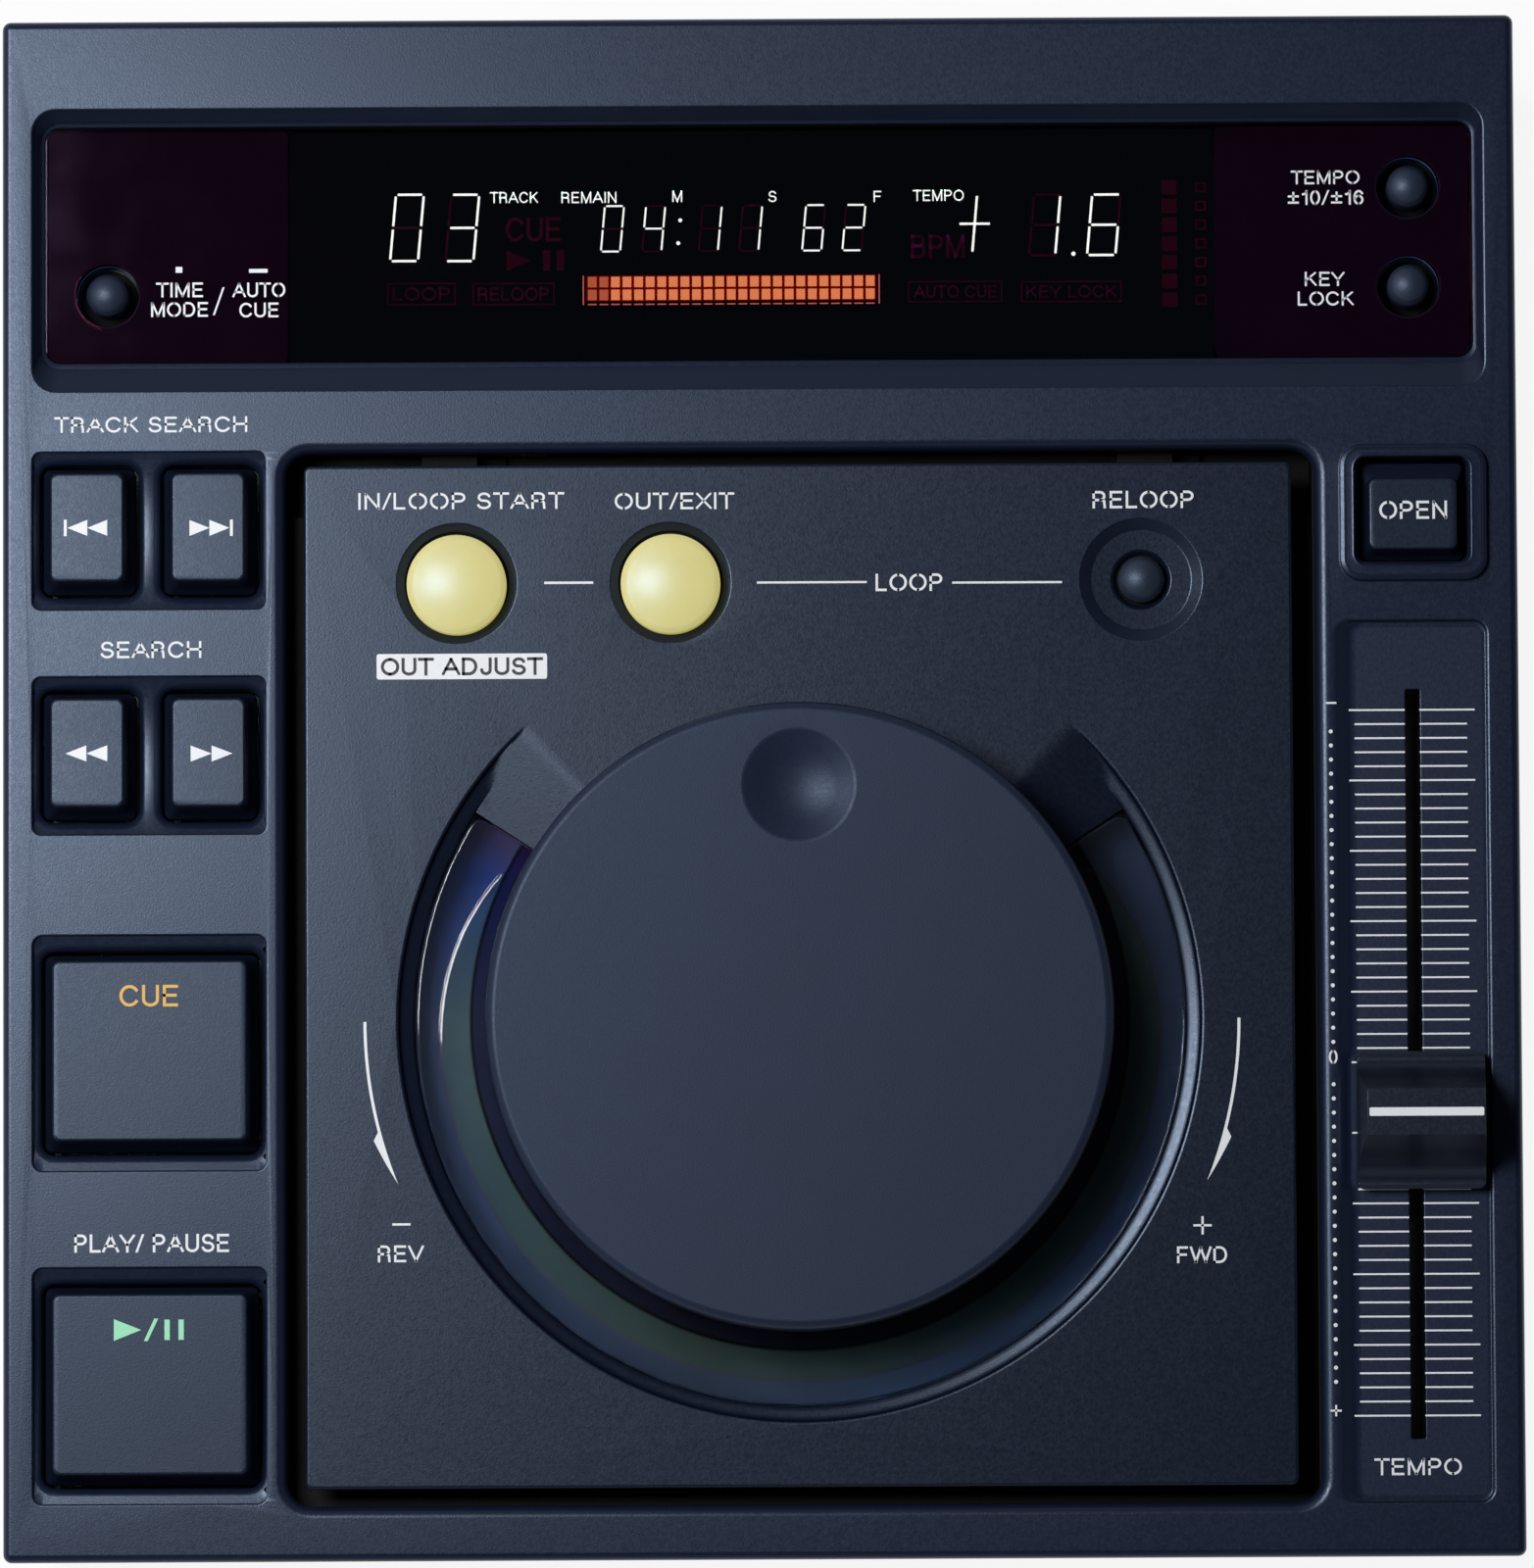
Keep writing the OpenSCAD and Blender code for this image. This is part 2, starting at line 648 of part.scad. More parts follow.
module motor(x, y, r, z0, shaft_depth) {
    translate([x, y, z0]) difference() {
        union() {
            cylinder(r = r, h = chassis_z - z0);
            translate([0, 0, -1.2]) cylinder(r = r * 0.35, h = 2);
        }
        translate([0, 0, chassis_z - z0 - shaft_depth])
            cylinder(r = motor_shaft_r + running, h = shaft_depth + 1);
    }
}

module spindle_motor() { color([0.66, 0.66, 0.68]) motor(dial_x, dial_y, 12, 41, 9); }

module sled_motor() { color([0.66, 0.66, 0.68]) motor(gear_x, gear_y, 8, 38, 10); }

module turntable() {
    color([0.15, 0.15, 0.16]) translate([dial_x, dial_y, 0]) rotate_extrude($fn = smooth) polygon([
        [0, 46], [motor_shaft_r, 46], [motor_shaft_r, 58], [5, 58], [5, disc_z - 2.6], [14, disc_z - 2],
        [14, disc_z], [7.45, disc_z], [7.45, disc_z + 1], [6.4, disc_z + 1.25], [0, disc_z + 1.25]]);
}

module compact_disc() {
    color([0.75, 0.78, 0.82]) ring_piece(7.5, disc_r, disc_z, disc_z + disc_t);
}

module guide_rods() {
    color([0.8, 0.8, 0.82]) for (side = [-1, 1])
        translate([-71, dial_y + side * rod_y, rod_z]) rotate([0, 90, 0]) cylinder(r = rod_r, h = 67.5);
}

// Teeth are straight-sided, thinner than half a pitch so that they never bind.
tooth_root = 0.62;
tooth_tip = 0.22;

module sled_gear() {
    pitch_angle = 360 / gear_teeth;
    root_r = gear_r - 1.15;
    tip_r = gear_r + 0.85;
    color([0.92, 0.92, 0.88]) translate([gear_x, gear_y, 0]) union() {
        translate([0, 0, gear_z]) linear_extrude(gear_t) union() {
            circle(r = root_r);
            for (i = [0 : gear_teeth - 1]) rotate(i * pitch_angle - 90)
                polygon([[root_r - 0.6, -tooth_root * 1.1], [tip_r, -tooth_tip], [tip_r, tooth_tip],
                         [root_r - 0.6, tooth_root * 1.1]]);
        }
        translate([0, 0, 44]) cylinder(r = motor_shaft_r, h = gear_z - 43);
        translate([0, 0, gear_z - 0.6]) cylinder(r = 3, h = gear_t + 1.6);
    }
}

module rack() {
    pitch = PI * gear_module;
    root = rack_y - 1.15;
    tip = rack_y + 0.85;
    first = gear_x - pitch / 2;
    body_front = dial_y + 20.5;
    slab(gear_x - 4, gear_x + 37.5, body_front - 0.4, root, gear_z, gear_z + gear_t);
    for (i = [0 : 11]) translate([first + i * pitch, 0, gear_z]) linear_extrude(gear_t)
        polygon([[-tooth_root, root - 0.1], [tooth_root, root - 0.1], [tooth_tip, tip], [-tooth_tip, tip]]);
}

module pickup_sled() {
    color([0.2, 0.2, 0.21]) difference() {
        union() {
            slab(sled_x - 10.4, sled_x + 10, dial_y - 20.5, dial_y + 20.5, sled_z, 63.5);
            rack();
        }
        for (side = [-1, 1]) translate([sled_x - 20, dial_y + side * rod_y, rod_z]) rotate([0, 90, 0])
            cylinder(r = rod_r + 0.05, h = 40);
        post([sled_x, dial_y], lens_r + 0.02, lens_z, 64);
    }
}

module pickup_lens() {
    color([0.35, 0.4, 0.5]) translate([sled_x, dial_y, 0]) rotate_extrude() polygon([
        [0, lens_z], [lens_r, lens_z], [lens_r, 65.4], [lens_r - 0.8, 66.2],
        [2.2, 66.2], [2.2, 65.8], [0, 66.4]]);
}

// Hinge and latch

module hinge_brackets() {
    color([0.7, 0.7, 0.72]) for (side = [-1, 1]) translate([dial_x + side * arm_offset, 0, 0]) difference() {
        union() {
            slab(-8, 8, 46.5, 54.8, rear_floor_z + 2, rear_floor_z + 3.5);
            for (ear = [-1, 1]) translate([ear * (arm_w / 2 + 1.1), 0, 0])
                slab(-0.75, 0.75, hinge_y - 3, hinge_y + 3, rear_floor_z + 3.4, hinge_z + 2.9);
        }
        translate([-10, hinge_y, hinge_z]) rotate([0, 90, 0]) cylinder(r = hinge_pin_r + 0.02, h = 20);
    }
}

module hinge_pins() {
    color([0.8, 0.8, 0.82]) for (side = [-1, 1])
        translate([dial_x + side * arm_offset - 7, hinge_y, hinge_z]) rotate([0, 90, 0])
            cylinder(r = hinge_pin_r, h = side < 0 ? 24 : 14);
}

module lid_spring() {
    wire_r = 0.5;
    coil_r = 2.5;
    turns = 8;
    pitch = 1.9 * wire_r;
    color([0.5, 0.5, 0.52]) translate([dial_x - arm_offset + 6.4, hinge_y, hinge_z]) rotate([0, 90, 0])
        rotate_extrude() union() {
            for (i = [0 : turns - 1]) translate([coil_r, wire_r + i * pitch]) circle(r = wire_r, $fn = 16);
            translate([coil_r - 0.25, wire_r]) square([0.5, (turns - 1) * pitch]);
        }
}

// The ramp climbs at 45 degrees, so the latch moves back as far as the key goes down.
latch_level = 60;
ramp_line = 27;
ramp_gap = 0.3;
ramp_front = 36;
ramp_back = ramp_front + open_travel + 2.5;

module latch_slide() {
    low = ramp_front + 1;
    high = ramp_back + 1;
    color([0.75, 0.75, 0.7]) union() {
        slab(77, 81, -19.6, 46, latch_level, latch_level + 2.6);
        slab(77, open_x + 3.6, 42, 46, latch_level, latch_level + 2.6);
        translate([open_x - 3.6, 0, 0]) rotate([90, 0, 90]) linear_extrude(7.2)
            polygon([[low, latch_level], [46, latch_level], [46, high + ramp_line - ramp_gap],
                     [high, high + ramp_line - ramp_gap], [low, low + ramp_line - ramp_gap]]);
        slab(77, 79, -19.6, -14, latch_level, 65);
        slab(72.4, 79, -19.6, -16, 63, 65);
    }
}

module open_button() {
    color([0.2, 0.22, 0.28]) union() {
        taper([open_x, open_y, 14.8, 14, 0.8, plate_z - 0.4],
              [open_x, open_y - 0.2, 12.8, 10.4, 0.8, plate_z + 2.2], 5.1);
        translate([open_x - 2, 0, 0]) rotate([90, 0, 90]) linear_extrude(4)
            polygon([[ramp_front, ramp_front + ramp_line], [ramp_back, ramp_back + ramp_line],
                     [ramp_back, plate_under - 2.9], [ramp_front, plate_under - 2.9]]);
    }
}

// Lid

module groove() {
    inner_r = 39;
    lead = 2;
    ramp_angle = atan(groove_drop / (groove_r * sin(arc_start - ramp_start)));
    translate([dial_x, dial_y, 0]) difference() {
        rotate([0, 0, ramp_start - lead])
            rotate_extrude(angle = 540 - 2 * (ramp_start - lead), $fn = smooth)
                polygon([[inner_r, groove_z], [groove_r - groove_drop, groove_z], [groove_r + 1, lid_top + 1],
                         [inner_r, lid_top + 1]]);
        for (end = [0, 1]) mirror([end, 0, 0]) rotate([0, 0, ramp_start]) translate([0, 0, lid_top])
            rotate([-ramp_angle, 0, 0]) translate([inner_r - 9, -10, -20]) cube([40, 50, 20]);
    }
}

module lid_panel() {
    color([0.19, 0.21, 0.28]) difference() {
        union() {
            round_slab(lid_x, lid_y, lid_w, lid_d, 0.7, lid_under, lid_top);
            ring_piece(10, 58.4, ring_z, lid_under + 0.1);
            for (spot = lid_screw_spots) post(spot, 3, liner_z + liner_t + 2, lid_under + 0.1);
        }
        groove();
        ring_piece(lens_inner_r - slack, lens_outer_r + slack, ring_z - 1, lid_top, arc_start, arc_sweep);
        for (spot = loop_keys) post(spot, loop_hole_r, ring_z - 1, lid_top + 1);
        post(reloop_key, reloop_hole_r, ring_z - 1, lid_top + 1);
        translate([reloop_key[0], reloop_key[1], lid_top - 0.8])
            rotate_extrude() translate([7.3, 0]) square([1.5, 2]);
        post([dial_x, dial_y], bush_r + 0.05, ring_z - 1, lid_top + 1);
        for (spot = lid_screw_spots) post(spot, pilot_r, liner_z, lid_top - 1);
    }
}

module hinge_arm() {
    rotate([90, 0, 90]) linear_extrude(arm_w, center = true) difference() {
        union() {
            polygon([[liner_back - 0.2, 72.6], [42, 72], [49.4, 72], [hinge_y + 1.4, hinge_z - 2.4],
                     [hinge_y - 1, hinge_z - 0.6], [hinge_y - 5, hinge_z - 1], [hinge_y - 7, hinge_z],
                     [hinge_y - 7, lid_under], [liner_back - 0.2, lid_under]]);
            translate([hinge_y, hinge_z]) circle(r = hinge_boss_r);
        }
        translate([hinge_y, hinge_z]) circle(r = hinge_pin_r + 0.05);
    }
}

module latch_hook() {
    difference() {
        union() {
            slab(72.2, 74.8, -26, -20, 60.6, lid_under);
            slab(liner_right - 0.2, 72.3, -26, -20, 75.5, lid_under);
        }
        slab(72, 75, -22.5, -19, 62.5, 65.5);
    }
}

module lid_liner() {
    inside = 1.5;
    plate_top = liner_z + liner_t;
    color([0.1, 0.1, 0.11]) difference() {
        union() {
            difference() {
                slab(liner_left, liner_right, liner_front, liner_back, liner_z, lid_under);
                slab(liner_left + inside, liner_right - inside, liner_front + inside, liner_back - inside,
                     plate_top, lid_under + 1);
            }
            for (spot = lid_screw_spots) post(spot, 4, plate_top - 0.1, plate_top + 2);
            for (side = [-1, 1]) translate([dial_x + side * arm_offset, 0, 0]) hinge_arm();
            latch_hook();
        }
        ring_piece(40, 57.5, liner_z - 1, plate_top + 1, arc_start, arc_sweep);
        post([dial_x, dial_y], 6, liner_z - 1, plate_top + 1);
        for (spot = lid_screw_spots) {
            post(spot, 2.8, liner_z - 1, liner_z + 2);
            post(spot, pilot_r + 0.2, liner_z, plate_top + 3);
        }
    }
}

module lid_screws() {
    color([0.62, 0.62, 0.64]) for (spot = lid_screw_spots) screw(spot, liner_z + 2, 5);
}

module dial_window() {
    color([0.25, 0.28, 0.32, 0.4]) union() {
        ring_piece(lens_inner_r, lens_outer_r, ring_z - 0.1, groove_z - 0.4,
                   arc_start + 0.3, arc_sweep - 0.6);
        ring_piece(39.5, 56.4, ring_z - 1.2, ring_z, arc_start - 1, arc_sweep + 2);
    }
}

module clamp_puck() {
    color([0.15, 0.15, 0.16]) translate([dial_x, dial_y, 0]) rotate_extrude($fn = smooth) polygon([
        [0, disc_z + disc_t + 0.3], [12, disc_z + disc_t + 0.3], [12, 73], [11, 73.6], [5, 73.6], [5, 76.4],
        [8, 76.4], [8, 77.6], [0, 77.6]]);
}

module dial_bush() {
    color([0.75, 0.62, 0.32]) translate([dial_x, dial_y, 0]) rotate_extrude($fn = smooth) polygon([
        [shaft_r + running, 78], [bush_r, 78], [bush_r, lid_under - 1.5], [9, lid_under - 1.5],
        [9, lid_under], [bush_r, lid_under], [bush_r, 87], [shaft_r + running, 87]]);
}

module lid_board() {
    z0 = liner_z + liner_t;
    top = z0 + 1.4;
    color([0.1, 0.3, 0.16]) union() {
        slab(-56, 66, 14, 38, z0, top);
        slab(dial_x - 9, dial_x + 9, -20, 14.1, z0, top);
        slab(dial_x - 4, dial_x + 4, -19, -13, top - 0.1, ring_z - 0.3);
        for (spot = concat(loop_keys, [reloop_key])) tact_switch(spot, top, 1.4);
    }
}

module jog_dial() {
    dimple_depth = 2;
    dimple_ball = (dimple_r * dimple_r + dimple_depth * dimple_depth) / (2 * dimple_depth);
    low = lid_top + 0.6;
    round_r = 1.4;
    color([0.2, 0.24, 0.31]) difference() {
        translate([dial_x, dial_y, 0]) rotate_extrude($fn = 120) polygon(concat(
            [[0, 78.4], [shaft_r, 78.4], [shaft_r, 87.4], [9, 87.4], [9, dial_top - 3],
             [dial_r - 3, dial_top - 3], [dial_r - 3, low], [dial_r, low]],
            [for (i = [0 : 4]) let (a = 22.5 * i)
                [dial_r - round_r + round_r * cos(a), dial_top - round_r + round_r * sin(a)]],
            [[0, dial_top]]));
        translate([dial_x, dial_y + dimple_offset, dial_top - dimple_depth + dimple_ball])
            sphere(r = dimple_ball, $fn = smooth);
    }
}

// Keys

module dome_key(spot, base_z, flange_r, body_r, shoulder_z, top_z) {
    rise = top_z - shoulder_z;
    ball = (body_r * body_r + rise * rise) / (2 * rise);
    steps = 6;
    angle = asin(body_r / ball);
    translate([spot[0], spot[1], 0]) rotate_extrude($fn = 64) polygon(concat(
        [[0, base_z], [flange_r, base_z], [flange_r, base_z + 1.2], [body_r, base_z + 1.6]],
        [for (i = [0 : steps]) let (a = angle * (1 - i / steps))
            [ball * sin(a), top_z - ball + ball * cos(a)]]));
}

module loop_key(spot) {
    color([0.88, 0.85, 0.5]) dome_key(spot, lid_under - 0.2, 8.1, 7.2, lid_top + 0.8, lid_top + 3.4);
}

module loop_in_button() { loop_key(loop_keys[0]); }
module loop_out_button() { loop_key(loop_keys[1]); }

module reloop_button() {
    color([0.1, 0.11, 0.14]) dome_key(reloop_key, lid_under - 0.2, 3.9, 3.4, lid_top + 0.4, lid_top + 2);
}

module small_button(spot) {
    stem_z = display_board_z + board_t + switch_h + small_key_travel + 0.2;
    color([0.13, 0.15, 0.2]) dome_key(spot, stem_z, 4.1, 2.7, window_top + 0.6, window_top + 2.2);
}

module time_mode_button() { small_button(small_keys[0]); }
module tempo_range_button() { small_button(small_keys[1]); }
module key_lock_button() { small_button(small_keys[2]); }

// A key cap with sloping sides and a stem over its switch
module key_cap(x, y, hole, top) {
    skirt = [hole[0] - 2 * key_gap, hole[1] - 2 * key_gap];
    skirt_z = plate_z - well_drop + 0.4;
    union() {
        taper([x, y, skirt[0], skirt[1], 1, skirt_z], [x, y + 0.2, top[0], top[1], 0.8, plate_z + key_rise],
              skirt_z - well_block_z - 0.6);
        slab(x - 2.5, x + 2.5, y - 2.5, y + 2.5, key_board_z + board_t + switch_h + key_travel + 0.2,
             well_block_z + 0.7);
    }
}

module small_cap(spot) { color([0.2, 0.22, 0.28]) key_cap(spot[0], spot[1], small_key_hole, small_key_top); }
module large_cap(y) { color([0.2, 0.22, 0.28]) key_cap(column_x + 0.2, y, large_key_hole, large_key_top); }

module track_back_button() { small_cap(track_keys[0]); }
module track_forward_button() { small_cap(track_keys[1]); }
module search_back_button() { small_cap(search_keys[0]); }
module search_forward_button() { small_cap(search_keys[1]); }
module cue_button() { large_cap(cue_y); }
module play_button() { large_cap(play_y); }

// Tempo fader

module fader_body() {
    color([0.7, 0.7, 0.72]) difference() {
        union() {
            slab(fader_x - 4.5, fader_x + 4.5, -98, 17.6, fader_z, fader_top);
            slab(fader_x - 4.5, fader_x + 4.5, -105, 24.8, fader_top - 1.5, fader_top);
        }
        slab(fader_x - 3, fader_x + 3, -97, 16.6, fader_z + 2, fader_top - 1);
        slab(fader_x - 1, fader_x + 1, slot_y - slot_d / 2, slot_y + slot_d / 2,
             fader_top - 2, fader_top + 1);
        for (y = fader_ends[1]) post([fader_x, y], pilot_r + 0.2, fader_top - 3, fader_top + 1);
    }
}

lever_w = 1.2;
lever_d = 5;
lever_top = 86;

module fader_carriage() {
    color([0.85, 0.85, 0.83]) union() {
        slab(fader_x - 2.7, fader_x + 2.7, knob_y - 5.5, knob_y + 5.5, fader_z + 2.3, fader_top - 1.3);
        slab(fader_x - lever_w / 2, fader_x + lever_w / 2, knob_y - lever_d / 2, knob_y + lever_d / 2,
             fader_top - 1.4, lever_top);
    }
}

// The knob is low at both ends and has a tall narrow ridge across its middle.
module tempo_knob() {
    low = field_floor + 0.8;
    rim = 84.3;
    ridge = 97.6;
    ridge_half = 3.3;
    edge = 1.2;
    dip = 0.8;
    offset = 0.6;
    gap = 0.05;
    half = knob_d / 2;
    wing = half - edge - ridge_half;
    // One wing's top line, from its rim up to the ridge
    front = [for (i = [0 : 6]) let (t = i / 6)
        [half - edge - t * wing, rim + (ridge - rim) * t * t - dip * sin(180 * t) * (1 - t)]];
    back = [for (i = [6 : -1 : 0]) [-front[i][0], front[i][1]]];
    side_profile = concat([[-half, low], [half, low], [half - 0.5, rim]], front, back, [[-half + 0.5, rim]]);
    color([0.08, 0.1, 0.14]) difference() {
        translate([fader_x + offset, knob_y, 0]) rotate([90, 0, 90])
            linear_extrude(knob_w, center = true) polygon(side_profile);
        slab(fader_x - lever_w / 2 - gap, fader_x + lever_w / 2 + gap, knob_y - lever_d / 2 - gap,
             knob_y + lever_d / 2 + gap, low - 1, lever_top + 0.1);
    }
}

top_housing();
base_tray();
rear_panel();
foot_front_left();
foot_front_right();
foot_rear_left();
foot_rear_right();
base_screws();
display_window();
display_tube();
display_board();
key_board();
main_board();
power_transformer();
output_jacks();
control_jack();
ac_inlet();
switch_frame();
switch_rocker();
disc_well();
mech_chassis();
rubber_dampers();
inner_screws();
spindle_motor();
turntable();
compact_disc();
guide_rods();
sled_motor();
sled_gear();
pickup_sled();
pickup_lens();
hinge_brackets();
hinge_pins();
lid_spring();
latch_slide();
lid_panel();
lid_liner();
lid_screws();
dial_window();
clamp_puck();
dial_bush();
lid_board();
jog_dial();
loop_in_button();
loop_out_button();
reloop_button();
track_back_button();
track_forward_button();
search_back_button();
search_forward_button();
cue_button();
play_button();
open_button();
time_mode_button();
tempo_range_button();
key_lock_button();
fader_body();
fader_carriage();
tempo_knob();
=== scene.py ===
"""Looks for a tabletop disc player for mixing music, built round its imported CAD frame.

Lengths are in millimetres until a mesh is made. X is right, Y is back and Z is up.
"""
import json
import math

import bmesh
import bpy
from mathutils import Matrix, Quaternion, Vector
from mathutils.geometry import delaunay_2d_cdt


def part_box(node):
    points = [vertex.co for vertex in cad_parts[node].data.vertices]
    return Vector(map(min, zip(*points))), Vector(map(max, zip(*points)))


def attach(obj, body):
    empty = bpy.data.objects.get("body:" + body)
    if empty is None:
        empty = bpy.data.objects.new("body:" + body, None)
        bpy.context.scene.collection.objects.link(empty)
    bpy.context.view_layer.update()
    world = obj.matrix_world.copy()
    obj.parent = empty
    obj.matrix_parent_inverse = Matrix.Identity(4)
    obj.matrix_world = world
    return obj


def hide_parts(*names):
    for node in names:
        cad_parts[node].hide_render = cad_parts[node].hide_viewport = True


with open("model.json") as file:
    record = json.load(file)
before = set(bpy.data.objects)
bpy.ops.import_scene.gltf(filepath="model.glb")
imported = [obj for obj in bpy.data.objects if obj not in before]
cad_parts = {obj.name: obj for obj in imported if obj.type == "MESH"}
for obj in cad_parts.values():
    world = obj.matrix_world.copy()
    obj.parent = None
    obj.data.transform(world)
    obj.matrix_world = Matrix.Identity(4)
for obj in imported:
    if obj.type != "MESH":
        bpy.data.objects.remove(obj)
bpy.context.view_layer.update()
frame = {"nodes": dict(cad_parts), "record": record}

MM = 0.001

# ---------------------------------------------------------------- sizes; the CAD's come from the frame


def node_box(node):
    """The lowest and highest corner of a CAD node, in millimetres."""
    low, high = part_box(node)
    return low / MM, high / MM


def node_rect(node, radius, grow=0.0):
    """A node's outline seen from above, as a rounded rectangle [x, y, width, depth, radius]."""
    low, high = node_box(node)
    return [(low.x + high.x) / 2, (low.y + high.y) / 2,
            high.x - low.x + 2 * grow, high.y - low.y + 2 * grow, radius]


PLATE_Z = 82
PLATE_UNDER = 79.5
WALL = 2.5
EDGE_R = 1.2
KEY_BLOCK_Z = 76.5
casing_low, casing_high = node_box("top_housing")
CASING = [0, 0, 2 * casing_high.x, 2 * casing_high.y, EDGE_R]

window_low, window_high = node_box("display_window")
WINDOW = node_rect("display_window", 2.2)
WINDOW[1] += 0.7
WINDOW_TOP = window_high.z
WINDOW_LOW = window_low.z
FIELD = [-0.1, 77.4, 208.2, 40.7, 3.4]
SMALL_KEYS = ["time_mode_button", "tempo_range_button", "key_lock_button"]
SMALL_HOLE_R = 4.5

WELL_DROP = 2
COLUMN_X = -87.5
SHORT_WELL = [33.5, 22.7, 1.3]
TALL_WELL = [33.5, 33.8, 1.5]
WELLS = {
    "track": [COLUMN_X, 37, *SHORT_WELL],
    "search": [COLUMN_X, 4.7, *SHORT_WELL],
    "cue": [COLUMN_X, -37.9, *TALL_WELL],
    "play": [COLUMN_X, -85.4, *TALL_WELL],
}
KEY_GAP = 0.45
WELL_KEYS = {
    "track": ["track_back_button", "track_forward_button"],
    "search": ["search_back_button", "search_forward_button"],
    "cue": ["cue_button"],
    "play": ["play_button"],
}

LID = node_rect("lid_panel", 1.0)
LID_GAP = 2.7
OPENING = [LID[0] + 0.35, LID[1] - 0.25, LID[2] + 2 * LID_GAP + 0.5, LID[3] + 2 * LID_GAP - 0.5, 3.4]
LID[3] += 0.6
LID_TOP = node_box("lid_panel")[1].z
LID_UNDER = LID_TOP - 2.2
RING_Z = LID_UNDER - 2.2
RING_R = 58.4

dial_low, dial_high = node_box("jog_dial")
DIAL_X = (dial_low.x + dial_high.x) / 2
DIAL_Y = (dial_low.y + dial_high.y) / 2
DIAL_R = (dial_high.x - dial_low.x) / 2
DIAL_TOP = dial_high.z
GROOVE_R = 57.3
GROOVE_DROP = 2
ARC_FROM = 147
ARC_TO = 393
RAMP_FROM = 133.4
SLOT_IN = 41.2
SLOT_OUT = 55.12
BUSH_R = 6.05

LOOP_HOLE_R = 8.5
LOOP_DISH = [7.5, 8.65, 0.55]
RELOOP_HOLE_R = 4.3
RELOOP_KEY_DISH = [3.7, 4.3, 0.5]
RELOOP_DISH = [7.25, 8.75, 0.85]

FADER_FIELD = [93.2, -39.8, 21.7, 126.1, 2]
FADER_FLOOR = PLATE_Z - 1
FADER_SLOT = [93.3, -40.2, 2.1, 107.1, 0.3]

OPEN = [93.4, 39.0]
OPEN_HOLE = [OPEN[0], OPEN[1] + 0.2, 15.7, 15, 1.2]

BAY = [-92.5, 92.5, 16.5, 61.5]

# The camera looks down from here; what lies lower or higher than the plate is placed along its rays.
CAMERA = Vector((4.3, -106.3, 1682))
CAMERA_TURN = Vector((3.807, 0.133, -0.285))
FOCAL_PIXELS = 11440.7
PHOTO_HEIGHT = 1600


def seen_at(x, y, z):
    """Where a point of the plate's plane appears to lie when it is really at height z."""
    share = (CAMERA.z - z) / (CAMERA.z - PLATE_Z)
    return CAMERA.x + (x - CAMERA.x) * share, CAMERA.y + (y - CAMERA.y) * share


# ---------------------------------------------------------------- outlines and meshes


def rounded(rect, steps=6, along=1):
    """The points of a rounded rectangle, counter-clockwise; each straight side has along stretches."""
    x, y, width, depth, radius = rect
    radius = max(radius, 0.02)
    points = []
    for turn, (sx, sy) in enumerate([(1, -1), (1, 1), (-1, 1), (-1, -1)]):
        cx = x + sx * (width / 2 - radius)
        cy = y + sy * (depth / 2 - radius)
        for i in range(steps + 1):
            angle = math.radians(90 * (turn - 1) + 90 * i / steps)
            points.append((cx + radius * math.cos(angle), cy + radius * math.sin(angle)))
        side = (depth if turn in (0, 2) else width) - 2 * radius
        forward = [(0, 1), (-1, 0), (0, -1), (1, 0)][turn]
        px, py = points[-1]
        for i in range(1, along):
            points.append((px + forward[0] * side * i / along, py + forward[1] * side * i / along))
    return points


def grown(rect, amount):
    """A rounded rectangle with every side moved outward by an amount."""
    x, y, width, depth, radius = rect
    return [x, y, width + 2 * amount, depth + 2 * amount, max(radius + amount, 0.02)]


def circle(x, y, radius, steps=64):
    turns = [math.tau * i / steps for i in range(steps)]
    return [(x + radius * math.cos(turn), y + radius * math.sin(turn)) for turn in turns]


def slab(x, y, width, depth, lean=0.0):
    """The corners of a rectangle; lean is how far its far side stands to the right of its near side."""
    return [(x + (side * width + rise * lean) / 2, y + rise * depth / 2)
            for side, rise in [(-1, -1), (1, -1), (1, 1), (-1, 1)]]


def hole_fillet(radius, steps):
    """Steps (outward offset, drop) round the upper edge of a hole."""
    turns = [math.pi / 2 * i / steps for i in range(steps + 1)]
    return [(radius * (1 - math.sin(turn)), radius * (1 - math.cos(turn))) for turn in turns]


def edge_fillet(radius, steps):
    """Steps (outward offset, drop) from a solid's side up round its upper edge."""
    return [(-out, drop) for out, drop in reversed(hole_fillet(radius, steps))]


def edged(rect, low, top, radius, steps):
    """The outside of a solid with a round upper edge, as (rectangle, height)."""
    return [(rect, low)] + [(grown(rect, out), top - drop) for out, drop in edge_fillet(radius, steps)]


def lip(width, drop=0.08):
    """Steps of a narrow gently sloping band round a hole, above its steep wall."""
    return [(width, 0), (width * 0.3, drop * 0.7), (0, drop)]


